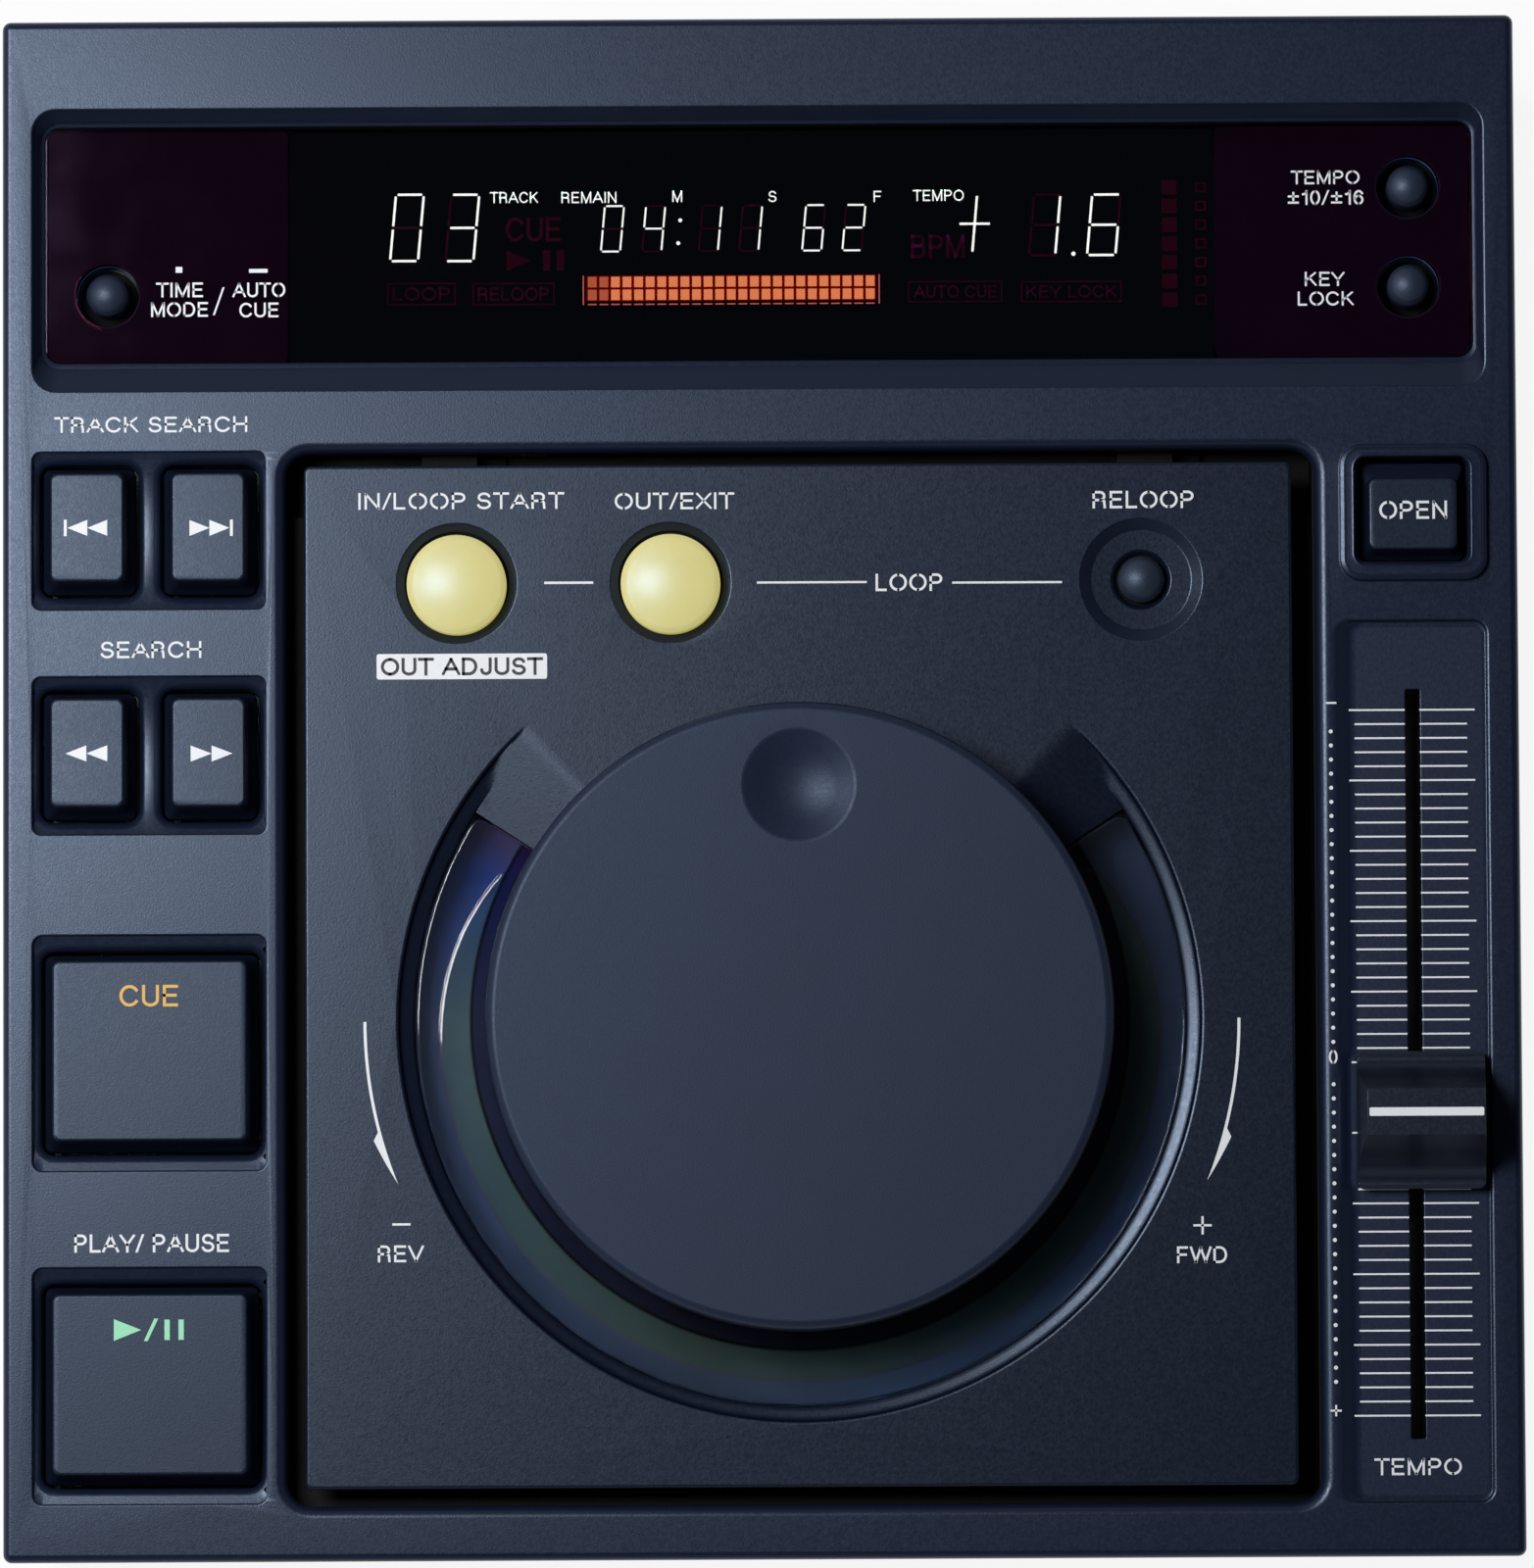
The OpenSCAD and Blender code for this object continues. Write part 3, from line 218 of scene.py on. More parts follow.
class Form:
    """Points and faces in millimetres that become one mesh."""

    def __init__(self):
        self.points = []
        self.faces = []

    def add(self, points):
        start = len(self.points)
        self.points.extend(points)
        return list(range(start, len(self.points)))

    def ring(self, outline, z):
        """A closed line of points at height z, which may be a function of x and y."""
        height = z if callable(z) else lambda x, y: z
        return self.add([(x, y, height(x, y)) for x, y in outline])

    def band(self, a, b, closed=True):
        """A strip of quads between two lines with the same number of points."""
        count = len(a)
        for i in range(count if closed else count - 1):
            j = (i + 1) % count
            self.faces.append((a[i], a[j], b[j], b[i]))

    def loft(self, rings):
        for a, b in zip(rings, rings[1:]):
            self.band(a, b)
        return rings[0], rings[-1]

    def rects(self, path):
        """A loft through rounded rectangles, given as (rectangle, height)."""
        return self.loft([self.ring(rounded(rect), z) for rect, z in path])

    def fill(self, outer, holes=(), inner=(), height=None):
        """A flat or gently curved face inside one line of points, round its holes."""
        used = list(outer) + [i for hole in holes for i in hole]
        flat = [Vector(self.points[i][:2]) for i in used] + [Vector(p) for p in inner]
        if inner:
            used = used + self.add([(x, y, height(x, y)) for x, y in inner])
        loops = [list(range(len(outer)))]
        start = len(outer)
        for hole in holes:
            loops.append(list(range(start + len(hole) - 1, start - 1, -1)))
            start += len(hole)
        result = delaunay_2d_cdt(flat, [], loops, 2, 1e-7)
        match = [origins[0] if origins else None for origins in result[3]]
        for face in result[2]:
            corners = [match[i] for i in face]
            if None not in corners:
                self.faces.append(tuple(used[i] for i in corners))

    def cap(self, ring):
        self.faces.append(tuple(ring))

    def solid(self, path):
        """A closed loft through rounded rectangles."""
        for ring in self.rects(path):
            self.fill(ring)

    def bridge(self, a, b):
        """A solid between two flat outlines in space, with the same number of points."""
        ends = self.add(a), self.add(b)
        self.band(*ends)
        for end in ends:
            self.cap(end)

    def lathe(self, x, y, profile, steps=96):
        """A solid of revolution about a vertical axis; the profile runs between two points on the axis."""
        rings = []
        for radius, z in profile:
            rings.append(self.add([(x, y, z)]) if radius == 0 else self.ring(circle(x, y, radius, steps), z))
        for a, b in zip(rings, rings[1:]):
            if len(a) == 1 or len(b) == 1:
                pole, line = (a[0], b) if len(a) == 1 else (b[0], a)
                for i in range(len(line)):
                    self.faces.append((pole, line[i], line[(i + 1) % len(line)]))
            else:
                self.band(a, b)

    def tube(self, x, y, inner, outer, low, high, steps=48):
        rings = [self.ring(circle(x, y, r, steps), z)
                 for r, z in [(inner, low), (outer, low), (outer, high), (inner, high)]]
        self.loft(rings + rings[:1])

    def prism(self, outline, low, high, holes=()):
        """A flat plate of any outline, with holes."""
        levels = [[self.ring(line, z) for line in (outline, *holes)] for z in (low, high)]
        for below, above in zip(*levels):
            self.band(below, above)
        for rim, *gaps in levels:
            self.fill(rim, gaps)

    def make(self, name, sharp=38, smooth=True):
        """The finished mesh object, in metres, closed and facing outward."""
        mesh = bpy.data.meshes.new(name)
        mesh.from_pydata([Vector(p) * MM for p in self.points], [], self.faces)
        piece = bpy.data.objects.new(name, mesh)
        bpy.context.scene.collection.objects.link(piece)
        tidy(piece, sharp, smooth)
        return piece


def tidy(piece, sharp=38, smooth=True):
    """Merges double points, turns every face outward and shades all but the sharp edges smooth."""
    weld = 2e-7
    work = bmesh.new()
    work.from_mesh(piece.data)
    bmesh.ops.remove_doubles(work, verts=work.verts, dist=weld)
    bmesh.ops.recalc_face_normals(work, faces=work.faces)
    for face in work.faces:
        face.smooth = smooth
    for edge in work.edges:
        edge.smooth = len(edge.link_faces) == 2 and edge.calc_face_angle() < math.radians(sharp)
    work.to_mesh(piece.data)
    work.free()
    if smooth:
        weighted = piece.modifiers.new("weighted", "WEIGHTED_NORMAL")
        weighted.keep_sharp = True
        weighted.weight = 80
        apply_modifiers(piece)


def apply_modifiers(piece):
    """Replaces a piece's mesh by the mesh that its modifiers make."""
    graph = bpy.context.evaluated_depsgraph_get()
    mesh = bpy.data.meshes.new_from_object(piece.evaluated_get(graph), depsgraph=graph)
    piece.modifiers.clear()
    old = piece.data
    piece.data = mesh
    bpy.data.meshes.remove(old)


def cut_with(piece, cutter, operation):
    """Cuts a piece with another one, which is used up."""
    cut = piece.modifiers.new("cut", "BOOLEAN")
    cut.operation = operation
    cut.object = cutter
    cut.solver = "EXACT"
    apply_modifiers(piece)
    bpy.data.objects.remove(cutter)


def dress(piece, body, slot, *nodes, finish=None):
    """Gives a piece its body and a finish, the slot's own unless another is named, and hides the CAD nodes
    that it stands for.
    """
    piece.data.materials.clear()
    piece.data.materials.append(FINISHES[finish or slot])
    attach(piece, body)
    if nodes:
        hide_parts(*nodes)


def paint(node, finish):
    """A better finish on a CAD node that stays."""
    piece = frame["nodes"][node]
    if not piece.material_slots:
        piece.data.materials.append(FINISHES[finish])
    for place in piece.material_slots:
        place.material = FINISHES[finish]


def bevel(piece, width, segments, sharp):
    """Rounds every edge that turns by more than an angle."""
    edge = piece.modifiers.new("bevel", "BEVEL")
    edge.width = width * MM
    edge.segments = segments
    edge.limit_method = "ANGLE"
    edge.angle_limit = math.radians(sharp)
    apply_modifiers(piece)


def refine(node, slot, body, width, segments=2):
    """Replaces a CAD node by a copy of its mesh with rounded edges."""
    piece = bpy.data.objects.new(node + "_finish", frame["nodes"][node].data.copy())
    bpy.context.scene.collection.objects.link(piece)
    sharp, flat, weld = 35, 1, 2e-6
    work = bmesh.new()
    work.from_mesh(piece.data)
    bmesh.ops.remove_doubles(work, verts=work.verts, dist=weld)
    bmesh.ops.dissolve_limit(work, angle_limit=math.radians(flat), verts=work.verts, edges=work.edges)
    work.to_mesh(piece.data)
    work.free()
    bevel(piece, width, segments, sharp)
    tidy(piece, sharp)
    dress(piece, body, slot, node)


# ---------------------------------------------------------------- materials

# Each finish's material by its name. The finish that belongs to a slot has the slot's name
FINISHES = {}


def linear(r, g, b):
    """A colour written as 0 to 255 screen values, for a shader socket."""
    return tuple(c / 255 / 12.92 if c / 255 <= 0.04045 else ((c / 255 + 0.055) / 1.055) ** 2.4
                 for c in (r, g, b)) + (1.0,)


def add_node(tree, kind, inputs=None, **settings):
    """A shader node whose inputs are plain values or the outputs of other nodes."""
    made = tree.nodes.new("ShaderNode" + kind)
    for setting, value in settings.items():
        setattr(made, setting, value)
    for socket, value in (inputs or {}).items():
        if isinstance(value, bpy.types.NodeSocket):
            tree.links.new(value, made.inputs[socket])
        else:
            made.inputs[socket].default_value = value
    return made


class Finish:
    """A node material that is built up step by step round one Principled shader."""

    def __init__(self, name, colour, roughness, metallic=0.0, **sockets):
        self.material = FINISHES[name] = bpy.data.materials.new(name)
        self.material.use_nodes = True
        self.tree = self.material.node_tree
        self.shader = self.tree.nodes["Principled BSDF"]
        self.colour = linear(*colour)
        sockets.update(Base_Color=self.colour, Roughness=roughness, Metallic=metallic)
        for socket, value in sockets.items():
            self.shader.inputs[socket.replace("_", " ")].default_value = value
        self.place = self.node("TexCoord").outputs["Object"]
        self.height = None

    def node(self, kind, inputs=None, **settings):
        return add_node(self.tree, kind, inputs, **settings)

    def use(self, value, socket):
        self.tree.links.new(value, self.shader.inputs[socket])

    def times(self, a, b):
        return self.node("VectorMath", {0: a, 1: b}, operation="MULTIPLY").outputs[0]

    def noise(self, size, detail, stretch):
        """Noise with features about size millimetres across."""
        place = self.node("Mapping", {"Vector": self.place, "Scale": stretch}).outputs[0]
        return self.node("TexNoise", {"Vector": place, "Scale": 1 / (size * MM), "Detail": detail,
                                      "Roughness": 0.55}).outputs["Fac"]

    def spread(self, value, low, high, dark, light):
        """Turns a value between low and high into one between dark and light."""
        return self.node("MapRange", {"Value": value, "From Min": low, "From Max": high,
                                      "To Min": dark, "To Max": light}).outputs[0]

    def ramp(self, value, stops):
        """A colour looked up from a value, by a few stops (value, colour)."""
        made = self.node("ValToRGB", {"Fac": value})
        first, *middle, last = stops
        elements = made.color_ramp.elements
        for element, (position, colour) in zip(elements, [first, last]):
            element.position = position
            element.color = linear(*colour)
        for position, colour in middle:
            elements.new(position).color = linear(*colour)
        return made.outputs[0]

    def mottle(self, size, amount, stretch=(1, 1, 1)):
        """Lightens and darkens the colour by a share of itself."""
        factor = self.spread(self.noise(size, 3.0, stretch), 0.3, 0.7, 1 - amount, 1 + amount)
        links = self.shader.inputs["Base Color"].links
        self.use(self.times(links[0].from_socket if links else self.colour[:3], factor), "Base Color")
        return self

    def rough(self, size, low, high, stretch=(1, 1, 1)):
        self.use(self.spread(self.noise(size, 2.0, stretch), 0.3, 0.7, low, high), "Roughness")
        return self

    def grain(self, size, depth, stretch=(1, 1, 1)):
        """Fine bumps, size millimetres across and depth millimetres high."""
        inputs = {"Height": self.noise(size, 2.0, stretch), "Distance": depth * MM, "Strength": 1.0}
        if self.height:
            inputs["Normal"] = self.height
        self.height = self.node("Bump", inputs).outputs[0]
        self.use(self.height, "Normal")
        return self


def plastic(name, colour, roughness, grain=0.22, depth=0.012, mottle=0.06, shine=0.5, tint=(1, 1, 1, 1),
            **sockets):
    """Moulded plastic with a spark-eroded grain."""
    finish = Finish(name, colour, roughness, IOR=1.5, Specular_Tint=tint, Specular_IOR_Level=shine, **sockets)
    finish.mottle(0.35, mottle).mottle(9.0, 0.03).rough(0.6, roughness - 0.03, roughness + 0.04)
    finish.grain(grain, depth)


def metal(name, colour, roughness, stretch=(1, 1, 1), size=1.2, depth=0.003):
    finish = Finish(name, colour, roughness, 1.0)
    finish.mottle(size, 0.06, stretch).rough(size, roughness - 0.06, roughness + 0.1, stretch)
    finish.grain(size, depth, stretch)


def glowing(name, colour, strength):
    """A lit segment: a little uneven, as phosphor is."""
    glow = {"Emission_Color": linear(*colour), "Emission_Strength": strength}
    Finish(name, colour, 0.6, **glow).mottle(0.5, 0.05)


def from_dial(finish):
    """The place on the lid's plane, measured from the dial's axis, and how far from it that is."""
    moved = finish.node("VectorMath", {0: finish.place, 1: (-DIAL_X * MM, -DIAL_Y * MM, 0)})
    flat = finish.times(moved.outputs[0], (1, 1, 0))
    return flat, finish.node("VectorMath", {0: flat}, operation="LENGTH").outputs["Value"]


def make_disc_mirror():
    """A mirror with a painted rainbow reflection that changes with the angle round the spindle."""
    finish = Finish("disc_mirror", (176, 180, 184), 0.5, 0.65)
    place, reach = from_dial(finish)
    turn = finish.node("TexGradient", {"Vector": place}, gradient_type="RADIAL").outputs["Fac"]
    # Painted reflection: the disc's rainbow colours, by angle
    painted_rainbow = finish.ramp(turn, [
        (0.0, (196, 196, 212)), (0.08, (168, 178, 198)), (0.2, (150, 150, 156)), (0.4, (130, 170, 216)),
        (0.5, (148, 152, 170)), (0.62, (150, 152, 152)), (0.69, (96, 104, 118)), (0.75, (62, 54, 92)),
        (0.8, (110, 100, 146)), (0.86, (120, 196, 130)), (0.9, (216, 140, 150)), (0.93, (84, 128, 204)),
        (1.0, (196, 196, 212))])
    clear, mirror, groove = (150, 152, 158), (255, 255, 255), (84, 86, 92)
    disc_r = 60
    zone = finish.ramp(finish.spread(reach, 0, disc_r * MM, 0, 1), [
        (0.0, clear), (0.29, clear), (0.3, groove), (0.32, groove), (0.33, clear), (0.37, clear),
        (0.38, mirror), (0.97, mirror), (0.975, clear), (1.0, clear)])
    finish.use(finish.times(painted_rainbow, zone), "Base Color")
    finish.mottle(6.0, 0.06).grain(30.0, 0.01)


ARC_TOP = LID_TOP - GROOVE_DROP + 0.15
ARC_FOLD = 0.22


def make_smoked_arc():
    """Smoked glass with painted light: blue where it is low, pink in its fold and grey on its raised part, a
    painted reflection of the disc's rainbow, and painted shade by the dial.
    """
    finish = Finish("smoked_arc", (178, 192, 204), 0.05, Transmission_Weight=0.98, IOR=1.47)
    up = finish.node("SeparateXYZ", {"Vector": finish.place}).outputs["Z"]
    rise = finish.spread(up, (ARC_TOP - ARC_FOLD) * MM, ARC_TOP * MM, 0, 1)
    # Painted reflection: colours by height that stand in for the disc's rainbow seen through the glass
    fold = finish.ramp(rise, [(0.02, (150, 165, 190)), (0.4, (206, 140, 165)), (0.9, (156, 184, 150))])
    near, far = 40, 60
    inward = finish.spread(from_dial(finish)[1], near * MM, far * MM, 0, 1)
    # Painted shade from the dial: a purple ring next to it and a dark line round that, then plain glass
    dial_shade_paint = finish.ramp(inward, [(0.33, (156, 136, 184)), (0.35, (60, 60, 70)), (0.37, (255, 255, 255))])
    finish.use(finish.times(fold, dial_shade_paint), "Base Color")
    finish.mottle(12.0, 0.02).rough(6.0, 0.04, 0.07)


def make_plastics():
    # Painted light colour: the plastics' sheen is tinted blue in place of a cool lamp
    cool_sheen_paint = (0.6, 0.75, 1.0, 1.0)
    for name, colour, roughness, grain, shine in [
            ("casing_plastic", (19, 26, 45), 0.31, 0.28, 0.52),
            ("lid_plastic", (13, 18, 35), 0.3, 0.28, 0.54),
            ("dial_plastic", (25, 33, 52), 0.44, 0.28, 0.38),
            ("film_plastic", (27, 33, 53), 0.33, 0.28, 0.56),
            ("key_plastic", (18, 25, 42), 0.35, 0.25, 0.47)]:
        plastic(name, colour, roughness, grain, mottle=0.04, shine=shine, tint=cool_sheen_paint)
    plastic("small_key_plastic", (26, 33, 50), 0.5, 0.3, 0.03, shine=0.9, tint=cool_sheen_paint)
    plastic("knob_plastic", (8, 11, 26), 0.34, 0.25, shine=0.7, tint=cool_sheen_paint)
    # The inside's dark plastic, made near black as painted shade where it shows in the lid's gap
    plastic("inner_plastic", (8, 8, 10), 0.6, shine=0.14)
    # Black plastic made darker still, as painted shade on the key flanges down in their holes
    plastic("shaded_plastic", (9, 9, 12), 0.8, shine=0.12)
    plastic("white_plastic", (226, 224, 216), 0.42, 0.5, 0.004, 0.02)
    plastic("red_plastic", (158, 30, 28), 0.4, 0.4, 0.004, 0.03)
    plastic("black_plastic", (20, 20, 22), 0.42)
    plastic("rubber", (22, 22, 23), 0.75, 0.4, 0.02)
    plastic("circuit_board", (30, 84, 50), 0.35, 2.0, 0.02, 0.12)
    for name, colour in [("white_print", (232, 235, 240)), ("amber_print", (226, 176, 78)),
                         ("mint_print", (150, 224, 184)), ("dark_print", (20, 24, 36))]:
        plastic(name, colour, 0.5, 0.3, 0.002, 0.03)
    # The loop keys are milky; a weak yellow glow, painted light, keeps their shaded side bright, and their
    # sheen is tinted blue as a painted highlight
    milky = {"Subsurface_Weight": 0.7, "Subsurface_Radius": (0.007, 0.006, 0.002), "Subsurface_Scale": 1.0}
    lit = {"Emission_Color": linear(222, 213, 116), "Emission_Strength": 0.5}
    finish = Finish("loop_key_plastic", (170, 163, 130), 0.4, Specular_IOR_Level=1.0,
                    Specular_Tint=(0.35, 0.6, 1, 1), **milky, **lit)
    finish.mottle(3.0, 0.03).grain(0.5, 0.004)


def make_metals():
    plastic("painted_steel", (24, 24, 27), 0.5, 0.6, 0.02, shine=0.3)
    # Painted steel made darker, as painted shade for the hinge parts in the lid's gap
    plastic("shaded_steel", (8, 8, 10), 0.7, 0.6, 0.02, shine=0.12)
    metal("zinc_steel", (176, 178, 182), 0.36)
    metal("bright_steel", (205, 207, 212), 0.2, (1, 8, 8))
    metal("brass", (202, 165, 92), 0.28)
    metal("laminated_iron", (96, 92, 90), 0.5, (0.2, 6, 0.2), 1.5, 0.05)


def make_glasses():
    # Painted reflection colour: the window's sheen is tinted plum
    window = Finish("smoked_window", (92, 48, 58), 0.03, Transmission_Weight=1.0, IOR=1.47,
                    Specular_Tint=(0.85, 0.6, 1, 1))
    window.mottle(12.0, 0.02).rough(6.0, 0.03, 0.05)
    plastic("tube_glass", (14, 12, 16), 0.12, 3.0, 0.002, Emission_Color=linear(112, 238, 255),
            Emission_Strength=0.06)
    Finish("lens_glass", (70, 96, 130), 0.05, Coat_Weight=1.0).mottle(2.0, 0.1).grain(1.0, 0.001)
    # The unlit segments' faint glow is painted light that stands in for the light they catch
    for name, colour, strength in [
            ("lit_white", (144, 255, 219), 34.0), ("lit_orange", (253, 255, 148), 6.8),
            ("lit_dim", (255, 226, 140), 3.7), ("lit_back", (255, 50, 20), 0.5),
            ("lit_frame", (255, 210, 170), 5.0), ("unlit_glow_paint", (238, 174, 255), 0.09),
            # The mask's faint glow is painted light
            ("mask_print_glow_paint", (142, 151, 255), 0.085)]:
        glowing(name, colour, strength)


make_plastics()
make_metals()
make_glasses()
make_smoked_arc()
make_disc_mirror()

for part in frame["record"]["subparts"]:
    paint(part["node"], part["material_slot"])
# The hinge parts in the lid's gap get the darker steel: painted shade
for shaded in ("hinge_brackets", "hinge_pins"):
    paint(shaded, "shaded_steel")

# ---------------------------------------------------------------- camera, light and floor

SKY_LEFT = 0.55
SKY_RIGHT = 0.16
SKY_ZENITH = 0.03
FLOOR_SHARE = 0.9


def softbox(name, place, target, width, depth, watts):
    """A rectangular lamp that shines from a place towards a target."""
    light = bpy.data.lights.new(name, "AREA")
    light.shape = "RECTANGLE"
    light.size = width * MM
    light.size_y = depth * MM
    light.energy = watts
    lamp = bpy.data.objects.new(name, light)
    bpy.context.scene.collection.objects.link(lamp)
    lamp.location = Vector(place) * MM
    lamp.rotation_euler = (Vector(target) - Vector(place)).to_track_quat("-Z", "Y").to_euler()


def make_camera():
    data = bpy.data.cameras.new("camera")
    data.sensor_fit = "VERTICAL"
    data.sensor_height = 36
    data.lens = FOCAL_PIXELS / PHOTO_HEIGHT * data.sensor_height
    data.clip_start = 0.05
    data.clip_end = 20
    camera = bpy.data.objects.new("camera", data)
    bpy.context.scene.collection.objects.link(camera)
    camera.location = CAMERA * MM
    camera.rotation_mode = "QUATERNION"
    camera.rotation_quaternion = Quaternion(CAMERA_TURN.normalized(), math.radians(CAMERA_TURN.length))
    bpy.context.scene.camera = camera


def shown(tree):
    """1 for what the camera, mirrors and glass see, and 0 for other rays."""
    path = add_node(tree, "LightPath").outputs
    seen = path["Is Camera Ray"]
    for kind in ("Is Glossy Ray", "Is Transmission Ray"):
        seen = add_node(tree, "Math", {0: seen, 1: path[kind]}, operation="MAXIMUM").outputs[0]
    return seen


def make_world():
    """Soft light from all round, strongest low on the left and dim overhead, where the camera hangs."""
    world = bpy.data.worlds.new("world")
    bpy.context.scene.world = world
    world.use_nodes = True
    tree = world.node_tree
    place = add_node(tree, "TexCoord").outputs["Generated"]
    axes = add_node(tree, "SeparateXYZ", {0: place}).outputs
    shares = []
    for axis, low, high, at_low, at_high in [("X", -0.8, 0.8, SKY_LEFT, SKY_RIGHT),
                                             ("Z", 0.45, 0.9, 1.0, SKY_ZENITH)]:
        inputs = {"Value": axes[axis], "From Min": low, "From Max": high, "To Min": at_low, "To Max": at_high}
        shares.append(add_node(tree, "MapRange", inputs, interpolation_type="SMOOTHSTEP").outputs[0])
    product = add_node(tree, "Math", dict(enumerate(shares)), operation="MULTIPLY")
    background = tree.nodes["Background"]
    background.inputs["Color"].default_value = (0.9, 0.95, 1.0, 1)
    tree.links.new(product.outputs[0], background.inputs["Strength"])


def make_floor():
    """A pale floor that keeps the shadow and reads as white."""
    form = Form()
    across = 12000
    form.cap(form.ring(slab(0, 0, across, across), 0))
    floor = form.make("floor", smooth=False)
    finish = Finish("floor_paper", (240, 240, 240), 0.8, Specular_IOR_Level=0.1).mottle(40.0, 0.01)
    glow = finish.node("Emission", {"Strength": 1.0}).outputs[0]
    share = finish.node("Math", {0: shown(finish.tree), 1: FLOOR_SHARE}, operation="MULTIPLY").outputs[0]
    mix = finish.node("MixShader", {0: share, 1: finish.shader.outputs[0], 2: glow}).outputs[0]
    finish.tree.links.new(mix, finish.tree.nodes["Material Output"].inputs["Surface"])
    floor.data.materials.append(finish.material)


make_camera()
make_world()
make_floor()
softbox("key", place=(-364, 132, 882), target=(-364, 132, 0), width=392, depth=262, watts=7.2)
bpy.context.scene.view_settings.view_transform = "Standard"

# ---------------------------------------------------------------- casing


def sunk_hole(form, rect, top, path):
    """Rings of a hole that goes down from height top; path lists (outward offset, drop)."""
    return [form.ring(rounded(grown(rect, out)), top - drop) for out, drop in path]


def well_floor(well):
    """The height of a key well's dished floor, as a function of x and y."""
    _, y0, _, depth, _ = well
    edge_drop = 0.5

    def height(x, y):
        share = min(1, abs(y - y0) / (depth / 2))
        return PLATE_Z - WELL_DROP + (WELL_DROP - edge_drop) * share ** 2
    return height


def floor_points(well, holes):
    """Points all over a well's floor, clear of its edge and of its holes."""
    x0, y0, width, depth, _ = well
    rows, columns = 20, 30
    rim = 0.8
    points = []
    for row in range(1, rows):
        y = y0 - depth / 2 + depth * row / rows
        for column in range(1, columns):
            x = x0 - width / 2 + width * column / columns
            clear = all(abs(x - r[0]) > r[2] / 2 or abs(y - r[1]) > r[3] / 2 for r in holes)
            if clear and abs(x - x0) < width / 2 - rim and abs(y - y0) < depth / 2 - rim:
                points.append((x, y))
    return points


def add_well(form, name):
    """A dished key well. Returns its outline, then each key hole's lowest ring, shape and wall."""
    well = WELLS[name]
    height = well_floor(well)
    along = 12
    soft, margin, wall = 1.1, 0.25, 1.3

    def level(rect, out, z):
        return form.ring(rounded(grown(rect, out), 6, along), z)
    rim = [level(well, out, PLATE_Z - drop) for out, drop in lip(0.2, 0.06)]
    walls = [level(well, -out, lambda x, y, up=up: height(x, y) + up)
             for out, up in [(0.05, 0.12), (0.08, 0.04), (0.2, 0.0)]]
    outline, edge = form.loft(rim + walls)
    rects = [node_rect(node, 1.9, KEY_GAP) for node in WELL_KEYS[name]]
    holes = []
    lows = []
    for rect in rects:
        rings = [level(rect, out, lambda x, y, drop=drop: height(x, y) - drop)
                 for out, drop in hole_fillet(soft, 5)]
        rings.append(level(rect, 0, KEY_BLOCK_Z))
        hole, low = form.loft(rings)
        holes.append(hole)
        lows.append((low, rect, wall))
    form.fill(edge, holes, floor_points(well, [grown(rect, soft + margin) for rect in rects]), height)
    return outline, *lows


def add_display_field(form):
    """The display field slopes down to the slot that holds the window."""
    shelf = grown(WINDOW, 0.35)
    slot = grown(WINDOW, 0.1)
    fall = PLATE_Z - WINDOW_TOP
    rings = sunk_hole(form, FIELD, PLATE_Z, lip(0.25))
    for share, depth in [(0.1, 0.16), (0.5, 0.55), (0.85, 0.87), (0.88, 0.97), (1.0, 1.0)]:
        blend = [a + (b - a) * share for a, b in zip(FIELD, shelf)]
        rings.append(form.ring(rounded(blend), PLATE_Z - fall * depth))
    rings += [form.ring(rounded(slot), z) for z in (WINDOW_TOP - 0.1, WINDOW_LOW - 0.4)]
    outline, low = form.loft(rings)
    return outline, (low, slot, 2.2)


def add_lid_opening(form):
    """The lid's opening has a broad rounded edge."""
    rings = sunk_hole(form, OPENING, PLATE_Z, hole_fillet(1.7, 9))
    outline, low = form.loft(rings + [form.ring(rounded(OPENING), PLATE_UNDER)])
    return outline, (low, OPENING, 0)


def add_collar(form):
    """The open key's collar: a steep riser, a sloping band, a groove, a flat top, a bead and a ledge."""
    base = [OPEN[0] + 0.15, OPEN[1] - 0.3, 20.75, 19.3, 3.0]
    crest = [OPEN[0], OPEN[1] - 0.1, 17.0, 16.0, 1.9]
    path = [(base, out, rise) for out, rise in [(0.3, 0), (0.2, 0.05), (0.1, 1.0), (0.02, 1.12),
                                                (-0.45, 1.27), (-0.5, 1.15), (-0.62, 1.15), (-0.7, 1.3)]]
    path += [(crest, out, rise) for out, rise in [(0.25, 1.3), (0, 1.37), (-0.16, 1.3), (-0.24, 0.9)]]
    path += [(OPEN_HOLE, out, rise) for out, rise in [(0.3, 0.75), (0.05, 0.3), (0, 0.0),
                                                      (0, KEY_BLOCK_Z + 1 - PLATE_Z)]]
    outline, low = form.rects([(grown(rect, out), PLATE_Z + rise) for rect, out, rise in path])
    return outline, (low, OPEN_HOLE, 1.3)


